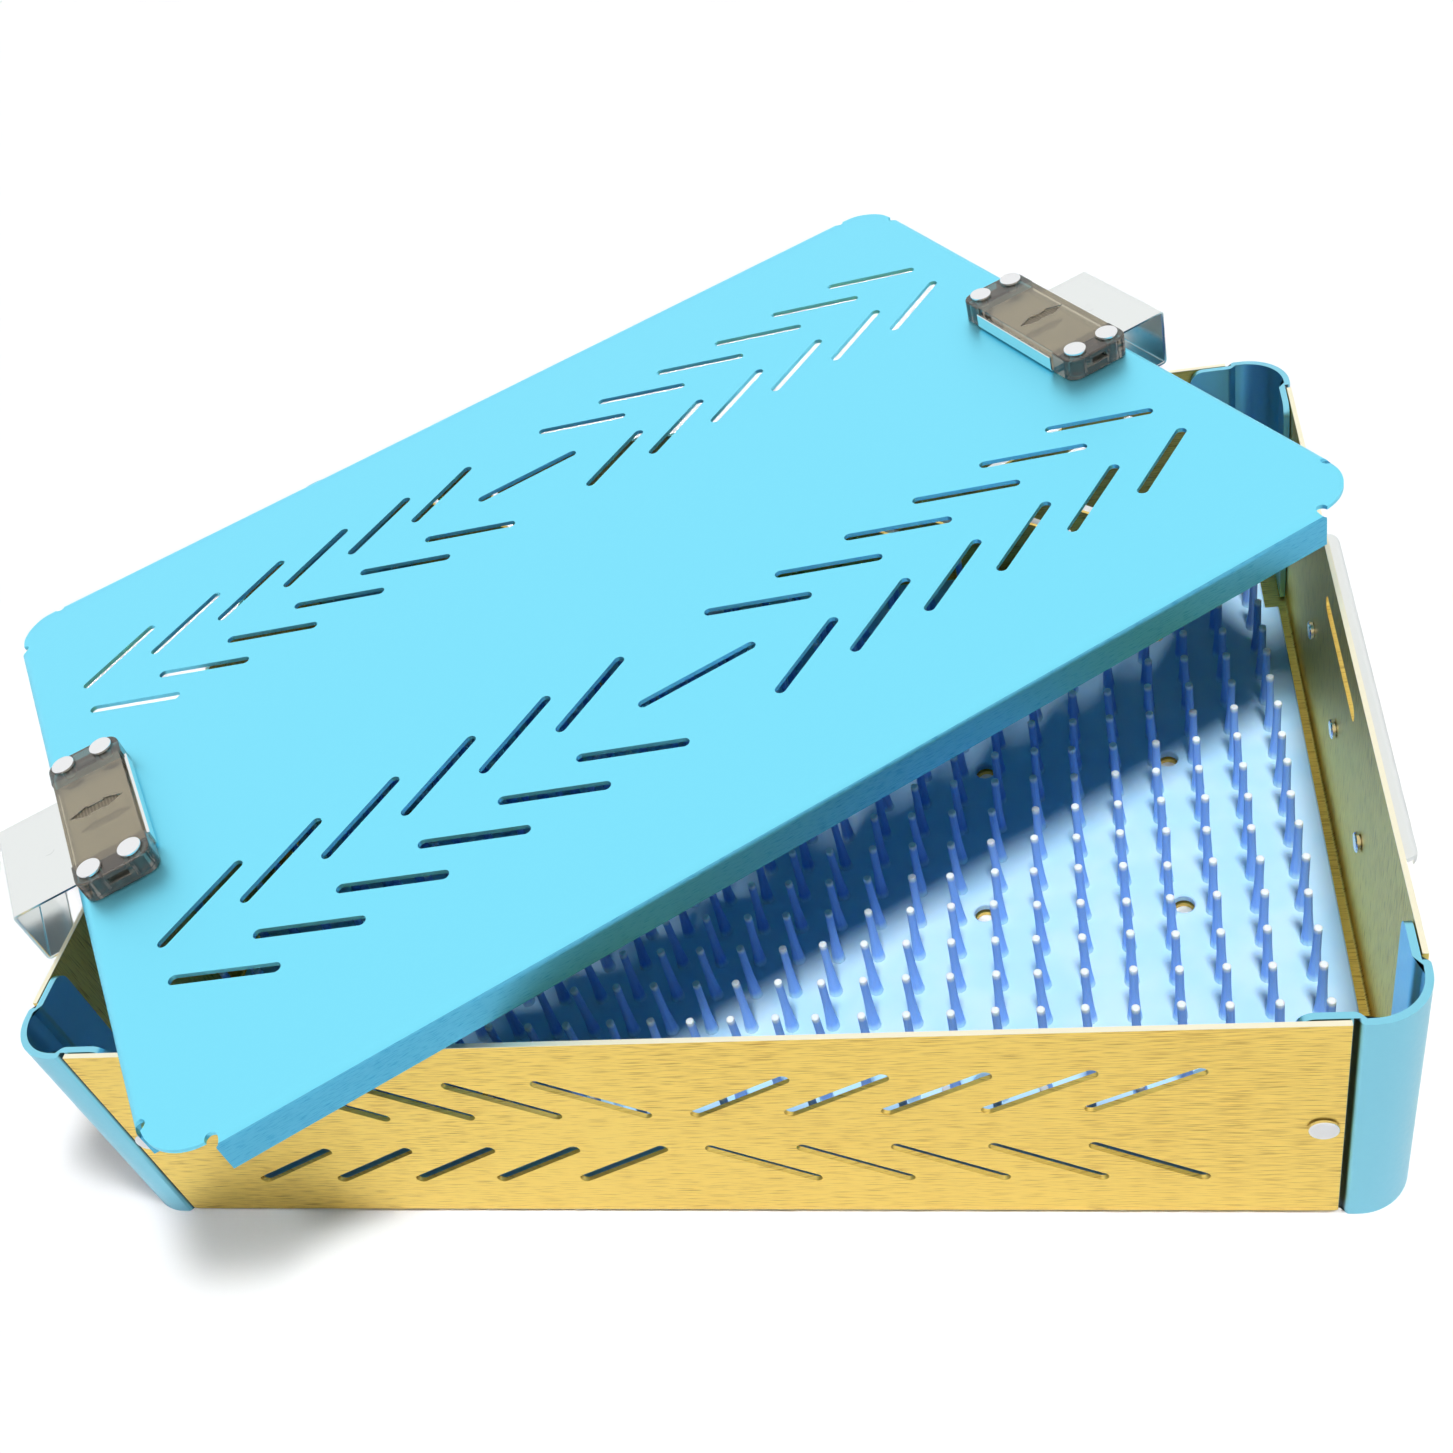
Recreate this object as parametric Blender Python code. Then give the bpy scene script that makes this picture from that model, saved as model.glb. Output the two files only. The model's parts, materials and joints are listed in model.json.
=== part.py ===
# Aluminium sterilization box: a folded gold tray with blue corner posts, a finger
# mat of silicone, and a slotted blue lid that lies askew on the tray with its two
# slide latches drawn out. Metres, +Z up, origin under the middle of the tray.
import math

import bmesh
import bpy
from mathutils import Matrix, Vector

# Tray
BOX_LENGTH = 0.2600
BOX_DEPTH = 0.1910
BOX_HEIGHT = 0.0587
SHEET = 0.0010
TRAY_BEND = 0.0016
WALL_CORNER_CUT = 0.0016
FIT_GAP = 0.0003
OVERRUN = 0.0040

# Corner posts
POST_FACE = 0.0134
POST_RADIUS = 0.0102
POST_SHEET = 0.0013
POST_LAP = 0.0082
POST_STEP_RUN = 0.0016

# Vent slots, the same on the tray and on the lid
VENT_LENGTH = 0.0235
VENT_WIDTH = 0.0024
VENT_ANGLE = math.radians(30)
VENT_PITCH = 0.01763
WALL_VENT_COUNT = 5
WALL_VENT_FIRST = 0.0140
WALL_VENT_LOW = 0.0186
WALL_VENT_RISE = 0.0226
LID_VENT_COUNT = 6
LID_VENT_FIRST = 0.02025
LID_VENT_ROW = 0.0495
LID_VENT_SPREAD = 0.0109
LID_VENT_MIDDLE = 0.0276

# Rivets
RIVET_HEAD_RADIUS = 0.00255
RIVET_HEAD_HEIGHT = 0.0009
RIVET_CROWN_SHARE = 0.72
RIVET_SHANK_RADIUS = 0.0013
RIVET_TAIL_RADIUS = 0.0021
RIVET_TAIL_HEIGHT = 0.0008
POST_RIVET_INSET = 0.0034

# Handle brackets on the end walls
BRACKET_LENGTH = 0.0960
BRACKET_SHEET = 0.0010
BRACKET_LOW = 0.0200
BRACKET_TOP = 0.0416
BRACKET_REACH = 0.0061
BRACKET_LIP = 0.0026
BRACKET_CORNER = 0.0030
BRACKET_RIVET_HEIGHT = 0.0278
BRACKET_RIVET_PITCH = 0.0315

# Silicone mat
MAT_GAP_X = 0.0035
MAT_GAP_Y = 0.0035
MAT_NOTCH_DEPTH = 0.0032
MAT_NOTCH_LENGTH = 0.0231
MAT_THICKNESS = 0.0020
FINGER_HEIGHT = 0.0163
FINGER_FOOT_RADIUS = 0.0016
FINGER_TIP_RADIUS = 0.0009
FINGER_MARGIN_X = 0.0065
FINGER_MARGIN_Y = 0.0095
FINGER_PITCH_X = 0.0095
FINGER_PITCH_Y = 0.0089
FINGER_SHIFT_X = -0.0006
FINGER_SHIFT_Y = -0.0006
DRAIN_INNER_X = 0.0536
DRAIN_PITCH_X = 0.0422
DRAIN_ROWS = 4
DRAIN_PITCH_Y = 0.0434
DRAIN_SHIFT_Y = -0.0034
DRAIN_MAT_RADIUS = 0.0023
DRAIN_FLOOR_RADIUS = 0.0020

# Lid
LID_PLAY = 0.0005
LID_DROP = 0.0083
LID_BEND = 0.0022
EAR_LENGTH = 0.0125
EAR_INSET = 0.0013
EAR_RADIUS = 0.0105
EAR_RELIEF_RADIUS = 0.0012

# How the lid lies in the photograph
LID_CENTRE_X_SHARE = -0.0973
LID_CENTRE_Y_SHARE = 0.1387
LID_TURN = math.radians(34.23)
HOOK_REST_GAP = 0.0020

# Latches
LATCH_INSET = 0.0101
HOUSING_WIDTH = 0.0163
HOUSING_LENGTH = 0.0454
HOUSING_HEIGHT = 0.0052
HOUSING_RADIUS = 0.0030
HOUSING_EDGE = 0.0005
HOUSING_WAIST = 0.0004
HOUSING_CHEEK = 0.0077
HOUSING_RIVET_INSET_X = 0.00375
HOUSING_RIVET_INSET_Y = 0.0035
HOUSING_SLOT_WIDTH = 0.0046
HOUSING_SLOT_HEIGHT = 0.0016
HOUSING_SLOT_DEPTH = 0.0055
HOUSING_ROOF = 0.0014
ARROW_LENGTH = 0.0133
ARROW_HEAD_LENGTH = 0.0048
ARROW_HALF_WIDTH = 0.0015
ARROW_SHAFT_HALF = 0.0009
ARROW_DEPTH = 0.0003
SLIDE_SHEET = 0.0007
SLIDE_BEND = 0.0010
SLIDE_END_BEND = 0.0003
SLIDE_END_HEIGHT = 0.0042
HOOK_OVERHANG = 0.01345
HOOK_DROP = 0.0134
HOOK_LIP = 0.0060
HOOK_CORNER = 0.0030
DIMPLE_PLACE = 0.0133
DIMPLE_RADIUS = 0.0013
DIMPLE_DEPTH = 0.0003

# Slots in the end walls, where the hooks go in when the lid is locked
HOOK_SLOT_HEIGHT = 0.0042
HOOK_SLOT_SIDE_PLAY = 0.0028
HOOK_SLOT_PLAY = 0.0004

# Facets
SLOT_END_STEPS = 3
CORNER_STEPS = 6
BEND_STEPS = 3
HOLE_SIDES = 8
RIVET_SIDES = 10
FINGER_SIDES = 3

# Sizes that follow from those above
HALF_LENGTH = BOX_LENGTH / 2
HALF_DEPTH = BOX_DEPTH / 2
WALL_END_X = HALF_LENGTH - POST_FACE
WALL_END_Y = HALF_DEPTH - POST_FACE
TRAY_INNER_BEND = TRAY_BEND - SHEET
POST_FLOOR_INSET = POST_SHEET + FIT_GAP
SHANK_HOLE_RADIUS = RIVET_SHANK_RADIUS + FIT_GAP
MAT_BOTTOM = SHEET + FIT_GAP
MAT_HALF_X = HALF_LENGTH - MAT_GAP_X
MAT_HALF_Y = HALF_DEPTH - MAT_GAP_Y
LID_HALF_X = HALF_LENGTH + LID_PLAY + SHEET
LID_HALF_Y = HALF_DEPTH + LID_PLAY + SHEET
LID_CENTRE_X = LID_CENTRE_X_SHARE * BOX_LENGTH
LID_CENTRE_Y = LID_CENTRE_Y_SHARE * BOX_DEPTH
LATCH_PLACE = LID_HALF_X - LATCH_INSET
HOUSING_TOP = FIT_GAP + HOUSING_HEIGHT
HOUSING_RIVET_X = HOUSING_WIDTH / 2 - HOUSING_RIVET_INSET_X
HOUSING_RIVET_Y = HOUSING_LENGTH / 2 - HOUSING_RIVET_INSET_Y
SLIDE_WIDTH = HOUSING_LENGTH - 2 * HOUSING_CHEEK
HOOK_REACH = LID_HALF_X + HOOK_OVERHANG
HOOK_TIP = HOOK_REACH - SLIDE_SHEET - HOOK_LIP
SLIDE_TOP = FIT_GAP + SLIDE_SHEET
HOUSING_WAIST_HALF = HOUSING_WIDTH / 2 - HOUSING_WAIST
SLIDE_END = LATCH_PLACE - HOUSING_WAIST_HALF - FIT_GAP
CHANNEL_HALF = SLIDE_WIDTH / 2 + FIT_GAP
CHANNEL_TOP = SLIDE_TOP + FIT_GAP
HOOK_SLOT_LENGTH = SLIDE_WIDTH + 2 * HOOK_SLOT_SIDE_PLAY
HOOK_SLOT_LOW = BOX_HEIGHT + SHEET + FIT_GAP - HOOK_DROP - HOOK_SLOT_PLAY

CORNERS = {
    "front_left": (-1, -1),
    "front_right": (1, -1),
    "back_left": (-1, 1),
    "back_right": (1, 1),
}
ENDS = {"left": -1, "right": 1}


def clear_scene():
    for thing in list(bpy.data.objects):
        bpy.data.objects.remove(thing, do_unlink=True)


def material(name, colour, roughness, metallic, alpha=1.0):
    made = bpy.data.materials.new(name)
    made.use_nodes = True
    shader = made.node_tree.nodes["Principled BSDF"]
    shader.inputs["Base Color"].default_value = (*colour, 1.0)
    shader.inputs["Roughness"].default_value = roughness
    shader.inputs["Metallic"].default_value = metallic
    shader.inputs["Alpha"].default_value = alpha
    made.diffuse_color = (*colour, alpha)
    return made


def make_materials():
    return {
        "gold": material("gold_aluminium", (0.78, 0.54, 0.20), 0.38, 0.9),
        "blue": material("sky_blue_aluminium", (0.06, 0.50, 0.78), 0.36, 0.8),
        "steel": material("stainless_steel", (0.72, 0.75, 0.76), 0.22, 1.0),
        "rivet": material("rivet_aluminium", (0.86, 0.87, 0.88), 0.30, 0.9),
        "silicone": material("milky_silicone", (0.62, 0.74, 0.92), 0.45, 0.0, 0.8),
        "smoke": material("smoky_plastic", (0.13, 0.12, 0.10), 0.25, 0.0, 0.75),
    }


# Outlines and solids
def joined(*meshes):
    whole = bmesh.new()
    for part in meshes:
        piece = bpy.data.meshes.new("piece")
        part.to_mesh(piece)
        part.free()
        whole.from_mesh(piece)
        bpy.data.meshes.remove(piece)
    return whole


def prism(outline, low, high, plane="XY"):
    # The outline lies in the plane, and the third axis runs from low to high.
    place = {
        "XY": lambda a, b, t: (a, b, t),
        "XZ": lambda a, b, t: (a, t, b),
        "YZ": lambda a, b, t: (t, a, b),
    }[plane]
    mesh = bmesh.new()
    bottom = [mesh.verts.new(place(a, b, low)) for a, b in outline]
    top = [mesh.verts.new(place(a, b, high)) for a, b in outline]
    mesh.faces.new(bottom)
    mesh.faces.new(top)
    for i in range(len(outline)):
        j = (i + 1) % len(outline)
        mesh.faces.new((bottom[i], bottom[j], top[j], top[i]))
    bmesh.ops.recalc_face_normals(mesh, faces=mesh.faces)
    return mesh


def block(low, high):
    outline = [(low[0], low[1]), (high[0], low[1]), (high[0], high[1]), (low[0], high[1])]
    return prism(outline, low[2], high[2])


def arc(centre, radius, start, end, steps):
    return [
        (
            centre[0] + radius * math.cos(start + (end - start) * i / steps),
            centre[1] + radius * math.sin(start + (end - start) * i / steps),
        )
        for i in range(steps + 1)
    ]


def circle(centre, radius, sides):
    return arc(centre, radius, 0, 2 * math.pi * (sides - 1) / sides, sides - 1)


def stadium(centre, length, width, angle):
    radius = width / 2
    reach = length / 2 - radius
    step = Vector((reach * math.cos(angle), reach * math.sin(angle)))
    middle = Vector(centre)
    quarter = math.pi / 2
    far_end = arc(middle + step, radius, angle - quarter, angle + quarter, SLOT_END_STEPS)
    near_end = arc(middle - step, radius, angle + quarter, angle + 3 * quarter, SLOT_END_STEPS)
    return far_end + near_end


def rounded_rectangle(half_x, half_y, radius):
    points = []
    for turn, (sx, sy) in enumerate([(1, 1), (-1, 1), (-1, -1), (1, -1)]):
        centre = (sx * (half_x - radius), sy * (half_y - radius))
        start = turn * math.pi / 2
        points += arc(centre, radius, start, start + math.pi / 2, CORNER_STEPS)
    return points


def offset_path(path, distance):
    # Moves an open path to its left by the distance, with mitred corners.
    points = [Vector(point) for point in path]
    moved = []
    for i, point in enumerate(points):
        before = (point - points[i - 1]).normalized() if i > 0 else None
        after = (points[i + 1] - point).normalized() if i < len(points) - 1 else None
        before = before or after
        after = after or before
        normal_a = Vector((-before.y, before.x))
        normal_b = Vector((-after.y, after.x))
        mitre = (normal_a + normal_b).normalized()
        moved.append(tuple(point + mitre * distance / mitre.dot(normal_a)))
    return moved


def strip(path, thickness):
    return list(path) + offset_path(path, thickness)[::-1]


def turned(profile, sides):
    # The profile holds (radius, height) points from one pole to the other.
    mesh = bmesh.new()
    rings = []
    for radius, height in profile:
        if radius == 0:
            rings.append([mesh.verts.new((0, 0, height))])
        else:
            ring = circle((0, 0), radius, sides)
            rings.append([mesh.verts.new((x, y, height)) for x, y in ring])
    for ring, following in zip(rings, rings[1:]):
        for i in range(sides):
            j = (i + 1) % sides
            corners = [ring[i % len(ring)], ring[j % len(ring)]]
            corners += [following[j % len(following)], following[i % len(following)]]
            mesh.faces.new(dict.fromkeys(corners))
    bmesh.ops.recalc_face_normals(mesh, faces=mesh.faces)
    return mesh


def bevel_edges(mesh, width, chosen, steps=BEND_STEPS):
    edges = [edge for edge in mesh.edges if chosen(*(vert.co for vert in edge.verts))]
    bmesh.ops.bevel(mesh, geom=edges, offset=width, segments=steps, profile=0.5, affect="EDGES")
    return mesh


def add_object(name, mesh, look=None, parent=None, turn=Matrix()):
    data = bpy.data.meshes.new(name)
    mesh.to_mesh(data)
    mesh.free()
    return place_mesh(name, data, look, parent, turn)


def place_mesh(name, data, look=None, parent=None, turn=Matrix()):
    made = bpy.data.objects.new(name, data)
    bpy.context.scene.collection.objects.link(made)
    if look and not data.materials:
        data.materials.append(look)
    made.parent = parent
    made.matrix_local = turn
    return made


def shade(thing):
    thing.data.shade_smooth()
    thing.data.set_sharp_from_angle(angle=math.radians(35))


def combine(body, cutter_mesh, operation="DIFFERENCE"):
    cutter = add_object(body.name + "_cutter", cutter_mesh, parent=body.parent)
    cutter.matrix_local = body.matrix_local
    cutter.hide_render = True
    cutter.display_type = "WIRE"
    modifier = body.modifiers.new("cut", "BOOLEAN")
    modifier.operation = operation
    modifier.object = cutter


def empty(name, matrix, parent=None):
    made = bpy.data.objects.new(name, None)
    bpy.context.scene.collection.objects.link(made)
    made.parent = parent
    made.matrix_local = matrix
    return made


# Rivets
def make_rivet(name, matrix, grip, looks, parent=None):
    # The head stands on the plane z = 0, and the tail closes under the grip.
    crown_radius = RIVET_HEAD_RADIUS * RIVET_CROWN_SHARE
    head_low = FIT_GAP
    rim = FIT_GAP + RIVET_HEAD_HEIGHT / 3
    head_top = FIT_GAP + RIVET_HEAD_HEIGHT
    tail_top = -grip - FIT_GAP
    profile = [
        (0, head_top),
        (crown_radius, head_top - RIVET_HEAD_HEIGHT / 4),
        (RIVET_HEAD_RADIUS, rim),
        (RIVET_HEAD_RADIUS, head_low),
        (RIVET_SHANK_RADIUS, head_low),
        (RIVET_SHANK_RADIUS, tail_top),
        (RIVET_TAIL_RADIUS, tail_top),
        (RIVET_TAIL_RADIUS, tail_top - RIVET_TAIL_HEIGHT),
        (0, tail_top - RIVET_TAIL_HEIGHT),
    ]
    made = add_object(name, turned(profile, RIVET_SIDES), looks["rivet"], parent, matrix)
    shade(made)


def facing(axis, place):
    turns = {
        "+Z": Matrix(),
        "-X": Matrix.Rotation(-math.pi / 2, 4, "Y"),
        "+X": Matrix.Rotation(math.pi / 2, 4, "Y"),
        "-Y": Matrix.Rotation(math.pi / 2, 4, "X"),
        "+Y": Matrix.Rotation(-math.pi / 2, 4, "X"),
    }
    return Matrix.Translation(place) @ turns[axis]


def post_rivet_places(sx, sy):
    height = BOX_HEIGHT / 2
    on_long_wall = (sx * (WALL_END_X - POST_RIVET_INSET), sy * HALF_DEPTH, height)
    on_end_wall = (sx * HALF_LENGTH, sy * (WALL_END_Y - POST_RIVET_INSET), height)
    return {("+Y" if sy > 0 else "-Y"): on_long_wall, ("+X" if sx > 0 else "-X"): on_end_wall}


def bracket_rivet_places(side):
    face = side * (HALF_LENGTH + FIT_GAP + BRACKET_SHEET)
    return [(face, row * BRACKET_RIVET_PITCH, BRACKET_RIVET_HEIGHT) for row in (-1, 0, 1)]


def hole(axis, place, radius=SHANK_HOLE_RADIUS):
    depth = OVERRUN
    mesh = prism(circle((0, 0), radius, HOLE_SIDES), -depth, depth)
    mesh.transform(facing(axis, place))
    return mesh


# Vent patterns
def chevrons(count, first, spread, outward):
    # Slots in two mirrored groups about the middle, as centre and angle.
    for group in (-1, 1):
        for i in range(count):
            along = group * (first + i * VENT_PITCH)
            for row in (-1, 1):
                lean = group * row * (-1 if outward else 1)
                yield (along, row * spread), lean * VENT_ANGLE


def wall_vents(low, high):
    middle = WALL_VENT_LOW + WALL_VENT_RISE / 2
    cuts = []
    for (x, z), angle in chevrons(WALL_VENT_COUNT, WALL_VENT_FIRST, WALL_VENT_RISE / 2, False):
        outline = stadium((x, middle + z), VENT_LENGTH, VENT_WIDTH, angle)
        cuts.append(prism(outline, low, high, "XZ"))
    return cuts


def lid_vents():
    cuts = []
    for side in (-1, 1):
        row = side * LID_VENT_ROW
        for (x, y), angle in chevrons(LID_VENT_COUNT, LID_VENT_FIRST, LID_VENT_SPREAD, True):
            outline = stadium((x, row + y), VENT_LENGTH, VENT_WIDTH, angle)
            cuts.append(prism(outline, -OVERRUN, OVERRUN))
        middle = stadium((0, row), LID_VENT_MIDDLE, VENT_WIDTH, 0)
        cuts.append(prism(middle, -OVERRUN, OVERRUN))
    return cuts


def drain_places():
    for side in (-1, 1):
        for x in (DRAIN_INNER_X, DRAIN_INNER_X + DRAIN_PITCH_X):
            for j in range(DRAIN_ROWS):
                yield side * x, DRAIN_SHIFT_Y + (j - (DRAIN_ROWS - 1) / 2) * DRAIN_PITCH_Y


# Tray: the floor and four walls are one folded sheet
def post_column(sx, sy):
    # What is cut out of the tray at a corner, down to the floor's rounded corner.
    inset = POST_FLOOR_INSET + FIT_GAP
    inner_x = HALF_LENGTH - inset
    inner_y = HALF_DEPTH - inset
    centre = (HALF_LENGTH - POST_RADIUS, HALF_DEPTH - POST_RADIUS)
    out_x = HALF_LENGTH + OVERRUN
    out_y = HALF_DEPTH + OVERRUN
    outline = [(WALL_END_X, out_y), (WALL_END_X, inner_y)]
    outline += arc(centre, POST_RADIUS - inset, math.pi / 2, 0, CORNER_STEPS)
    outline += [(inner_x, WALL_END_Y), (out_x, WALL_END_Y), (out_x, out_y)]
    mirrored = [(sx * x, sy * y) for x, y in outline]
    return prism(mirrored, -OVERRUN, BOX_HEIGHT + OVERRUN)


def wall_corner_cuts():
    cut = WALL_CORNER_CUT
    cuts = []
    for side in (-1, 1):
        for end in (-1, 1):
            long_wall = [
                (end * (WALL_END_X - cut), -FIT_GAP),
                (end * (WALL_END_X + FIT_GAP), -FIT_GAP),
                (end * (WALL_END_X + FIT_GAP), cut),
                (end * WALL_END_X, cut),
                (end * (WALL_END_X - cut), 0),
            ]
            y = side * HALF_DEPTH
            reach = SHEET + FIT_GAP
            cuts.append(prism(long_wall, y - reach, y + reach, "XZ"))
            end_wall = [
                (end * (WALL_END_Y - cut), -FIT_GAP),
                (end * (WALL_END_Y + FIT_GAP), -FIT_GAP),
                (end * (WALL_END_Y + FIT_GAP), cut),
                (end * WALL_END_Y, cut),
                (end * (WALL_END_Y - cut), 0),
            ]
            x = side * HALF_LENGTH
            cuts.append(prism(end_wall, x - reach, x + reach, "YZ"))
    return cuts


def make_tray(looks):
    whole = block((-HALF_LENGTH, -HALF_DEPTH, 0), (HALF_LENGTH, HALF_DEPTH, BOX_HEIGHT))
    bevel_edges(whole, TRAY_BEND, lambda a, b: a.z == 0 and b.z == 0)
    tray = add_object("box_tray", whole, looks["gold"])
    inside = block(
        (SHEET - HALF_LENGTH, SHEET - HALF_DEPTH, SHEET),
        (HALF_LENGTH - SHEET, HALF_DEPTH - SHEET, BOX_HEIGHT + OVERRUN),
    )
    floor = SHEET + FIT_GAP
    bevel_edges(inside, TRAY_INNER_BEND, lambda a, b: a.z < floor and b.z < floor)
    combine(tray, inside)
    combine(tray, joined(*(post_column(sx, sy) for sx, sy in CORNERS.values())))
    combine(tray, joined(*wall_corner_cuts()))
    cuts = []
    for side in (-1, 1):
        wall = side * HALF_DEPTH
        cuts += wall_vents(wall - OVERRUN, wall + OVERRUN)
        slot = stadium(
            (0, HOOK_SLOT_LOW + HOOK_SLOT_HEIGHT / 2), HOOK_SLOT_LENGTH, HOOK_SLOT_HEIGHT, 0
        )
        end = side * HALF_LENGTH
        cuts.append(prism(slot, end - OVERRUN, end + OVERRUN, "YZ"))
        cuts += [hole("+X", place) for place in bracket_rivet_places(side)]
    for sx, sy in CORNERS.values():
        cuts += [hole(axis, place) for axis, place in post_rivet_places(sx, sy).items()]
    for x, y in drain_places():
        cuts.append(hole("+Z", (x, y, 0), DRAIN_FLOOR_RADIUS))
    combine(tray, joined(*cuts))
    shade(tray)


# Corner posts
def post_path():
    # The outer face of a post, from its lap on the long wall round to the end wall.
    lap_x = HALF_LENGTH - SHEET - FIT_GAP
    lap_y = HALF_DEPTH - SHEET - FIT_GAP
    step_x = WALL_END_X + FIT_GAP
    step_y = WALL_END_Y + FIT_GAP
    centre = (HALF_LENGTH - POST_RADIUS, HALF_DEPTH - POST_RADIUS)
    path = [(WALL_END_X - POST_LAP, lap_y), (step_x, lap_y), (step_x + POST_STEP_RUN, HALF_DEPTH)]
    path += arc(centre, POST_RADIUS, math.pi / 2, 0, CORNER_STEPS)
    path += [(HALF_LENGTH, step_y + POST_STEP_RUN), (lap_x, step_y), (lap_x, WALL_END_Y - POST_LAP)]
    return path


def post_foot_cut():
    # Room for the floor inside the post, and for the wall's bend under each lap.
    inset = POST_FLOOR_INSET
    centre = (HALF_LENGTH - POST_RADIUS, HALF_DEPTH - POST_RADIUS)
    step_x = WALL_END_X + FIT_GAP
    step_y = WALL_END_Y + FIT_GAP
    out_x = HALF_LENGTH + OVERRUN
    out_y = HALF_DEPTH + OVERRUN
    outline = [(0, 0), (0, out_y), (step_x, out_y), (step_x, HALF_DEPTH - inset)]
    outline += arc(centre, POST_RADIUS - inset, math.pi / 2, 0, CORNER_STEPS)
    outline += [(HALF_LENGTH - inset, step_y), (out_x, step_y), (out_x, 0)]
    return outline


def make_post(name, sx, sy, looks):
    outline = strip(post_path(), -POST_SHEET)
    body = prism([(sx * x, sy * y) for x, y in outline], 0, BOX_HEIGHT)
    post = add_object(name + "_post", body, looks["blue"])
    floor = [(sx * x, sy * y) for x, y in post_foot_cut()]
    combine(post, prism(floor, -OVERRUN, SHEET + TRAY_INNER_BEND + FIT_GAP))
    places = post_rivet_places(sx, sy)
    combine(post, joined(*(hole(axis, place) for axis, place in places.items())))
    shade(post)
    grip = SHEET + FIT_GAP + POST_SHEET
    for wall, (axis, place) in zip(("long", "end"), places.items()):
        make_rivet(f"{name}_post_rivet_{wall}", facing(axis, place), grip, looks)


# Handle brackets
def make_bracket(name, side, looks):
    face = HALF_LENGTH + FIT_GAP
    outer = HALF_LENGTH + BRACKET_REACH
    path = [(face, BRACKET_LOW), (face, BRACKET_TOP), (outer, BRACKET_TOP)]
    path.append((outer, BRACKET_TOP - BRACKET_LIP))
    outline = strip([(side * x, z) for x, z in path], -side * BRACKET_SHEET)
    half = BRACKET_LENGTH / 2
    body = prism(outline, -half, half, "XZ")
    bracket = add_object(name + "_handle_bracket", body, looks["steel"])
    cuts = [hole("+X", place) for place in bracket_rivet_places(side)]
    for end in (-1, 1):
        corner = [
            (side * (outer - BRACKET_CORNER), end * (half + FIT_GAP)),
            (side * (outer + FIT_GAP), end * (half + FIT_GAP)),
            (side * (outer + FIT_GAP), end * (half - BRACKET_CORNER)),
            (side * outer, end * (half - BRACKET_CORNER)),
        ]
        centre = (outer - BRACKET_CORNER, half - BRACKET_CORNER)
        rounding = arc(centre, BRACKET_CORNER, 0, math.pi / 2, BEND_STEPS)
        corner += [(side * x, end * y) for x, y in rounding[1:]]
        low = BRACKET_TOP - BRACKET_LIP - FIT_GAP
        cuts.append(prism(corner, low, BRACKET_TOP + FIT_GAP))
    combine(bracket, joined(*cuts))
    shade(bracket)
    grip = BRACKET_SHEET + FIT_GAP + SHEET
    axis = "+X" if side > 0 else "-X"
    for count, place in enumerate(bracket_rivet_places(side), 1):
        make_rivet(f"{name}_bracket_rivet_{count}", facing(axis, place), grip, looks)


# Silicone mat
def mat_outline():
    points = []
    for sx, sy in [(1, 1), (-1, 1), (-1, -1), (1, -1)]:
        corner = [
            (sx * MAT_HALF_X, sy * (MAT_HALF_Y - MAT_NOTCH_LENGTH)),
            (sx * (MAT_HALF_X - MAT_NOTCH_DEPTH), sy * (MAT_HALF_Y - MAT_NOTCH_LENGTH)),
            (sx * (MAT_HALF_X - MAT_NOTCH_DEPTH), sy * (MAT_HALF_Y - MAT_NOTCH_DEPTH)),
            (sx * (MAT_HALF_X - MAT_NOTCH_LENGTH), sy * (MAT_HALF_Y - MAT_NOTCH_DEPTH)),
            (sx * (MAT_HALF_X - MAT_NOTCH_LENGTH), sy * MAT_HALF_Y),
        ]
        points += corner if sx * sy > 0 else corner[::-1]
    return points


def finger_places():
    # A finger that would stand in a drain hole is left out.
    clear = DRAIN_MAT_RADIUS + FINGER_FOOT_RADIUS + FIT_GAP
    columns = 1 + int(2 * (MAT_HALF_X - FINGER_MARGIN_X) / FINGER_PITCH_X)
    rows = 1 + int(2 * (MAT_HALF_Y - FINGER_MARGIN_Y) / FINGER_PITCH_Y)
    for i in range(columns):
        for j in range(rows):
            x = FINGER_SHIFT_X + (i - (columns - 1) / 2) * FINGER_PITCH_X
            y = FINGER_SHIFT_Y + (j - (rows - 1) / 2) * FINGER_PITCH_Y
            if all(math.dist((x, y), drain) > clear for drain in drain_places()):
                yield x, y


def make_mat(looks):
    top = MAT_BOTTOM + MAT_THICKNESS
    mat = add_object("silicone_mat", prism(mat_outline(), MAT_BOTTOM, top), looks["silicone"])
    drains = [
        prism(circle(place, DRAIN_MAT_RADIUS, HOLE_SIDES), 0, top + OVERRUN)
        for place in drain_places()
    ]
    combine(mat, joined(*drains))
    fingers = []
    profile = [
        (FINGER_FOOT_RADIUS, top - MAT_THICKNESS / 2),
        (FINGER_FOOT_RADIUS, top),
        (FINGER_TIP_RADIUS, top + FINGER_HEIGHT),
    ]
    for x, y in finger_places():
        fingers.append(finger(profile, x, y))
    combine(mat, joined(*fingers), "UNION")


def finger(profile, x, y):
    # The profile holds (radius, height) points, from the foot sunk in the sheet to the tip.
    mesh = bmesh.new()
    rings = []
    for radius, height in profile:
        ring = circle((x, y), radius, FINGER_SIDES)
        rings.append([mesh.verts.new((a, b, height)) for a, b in ring])
    mesh.faces.new(rings[0])
    mesh.faces.new(rings[-1])
    for ring, following in zip(rings, rings[1:]):
        for i in range(FINGER_SIDES):
            j = (i + 1) % FINGER_SIDES
            mesh.faces.new((ring[i], ring[j], following[j], following[i]))
    bmesh.ops.recalc_face_normals(mesh, faces=mesh.faces)
    return mesh


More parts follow.
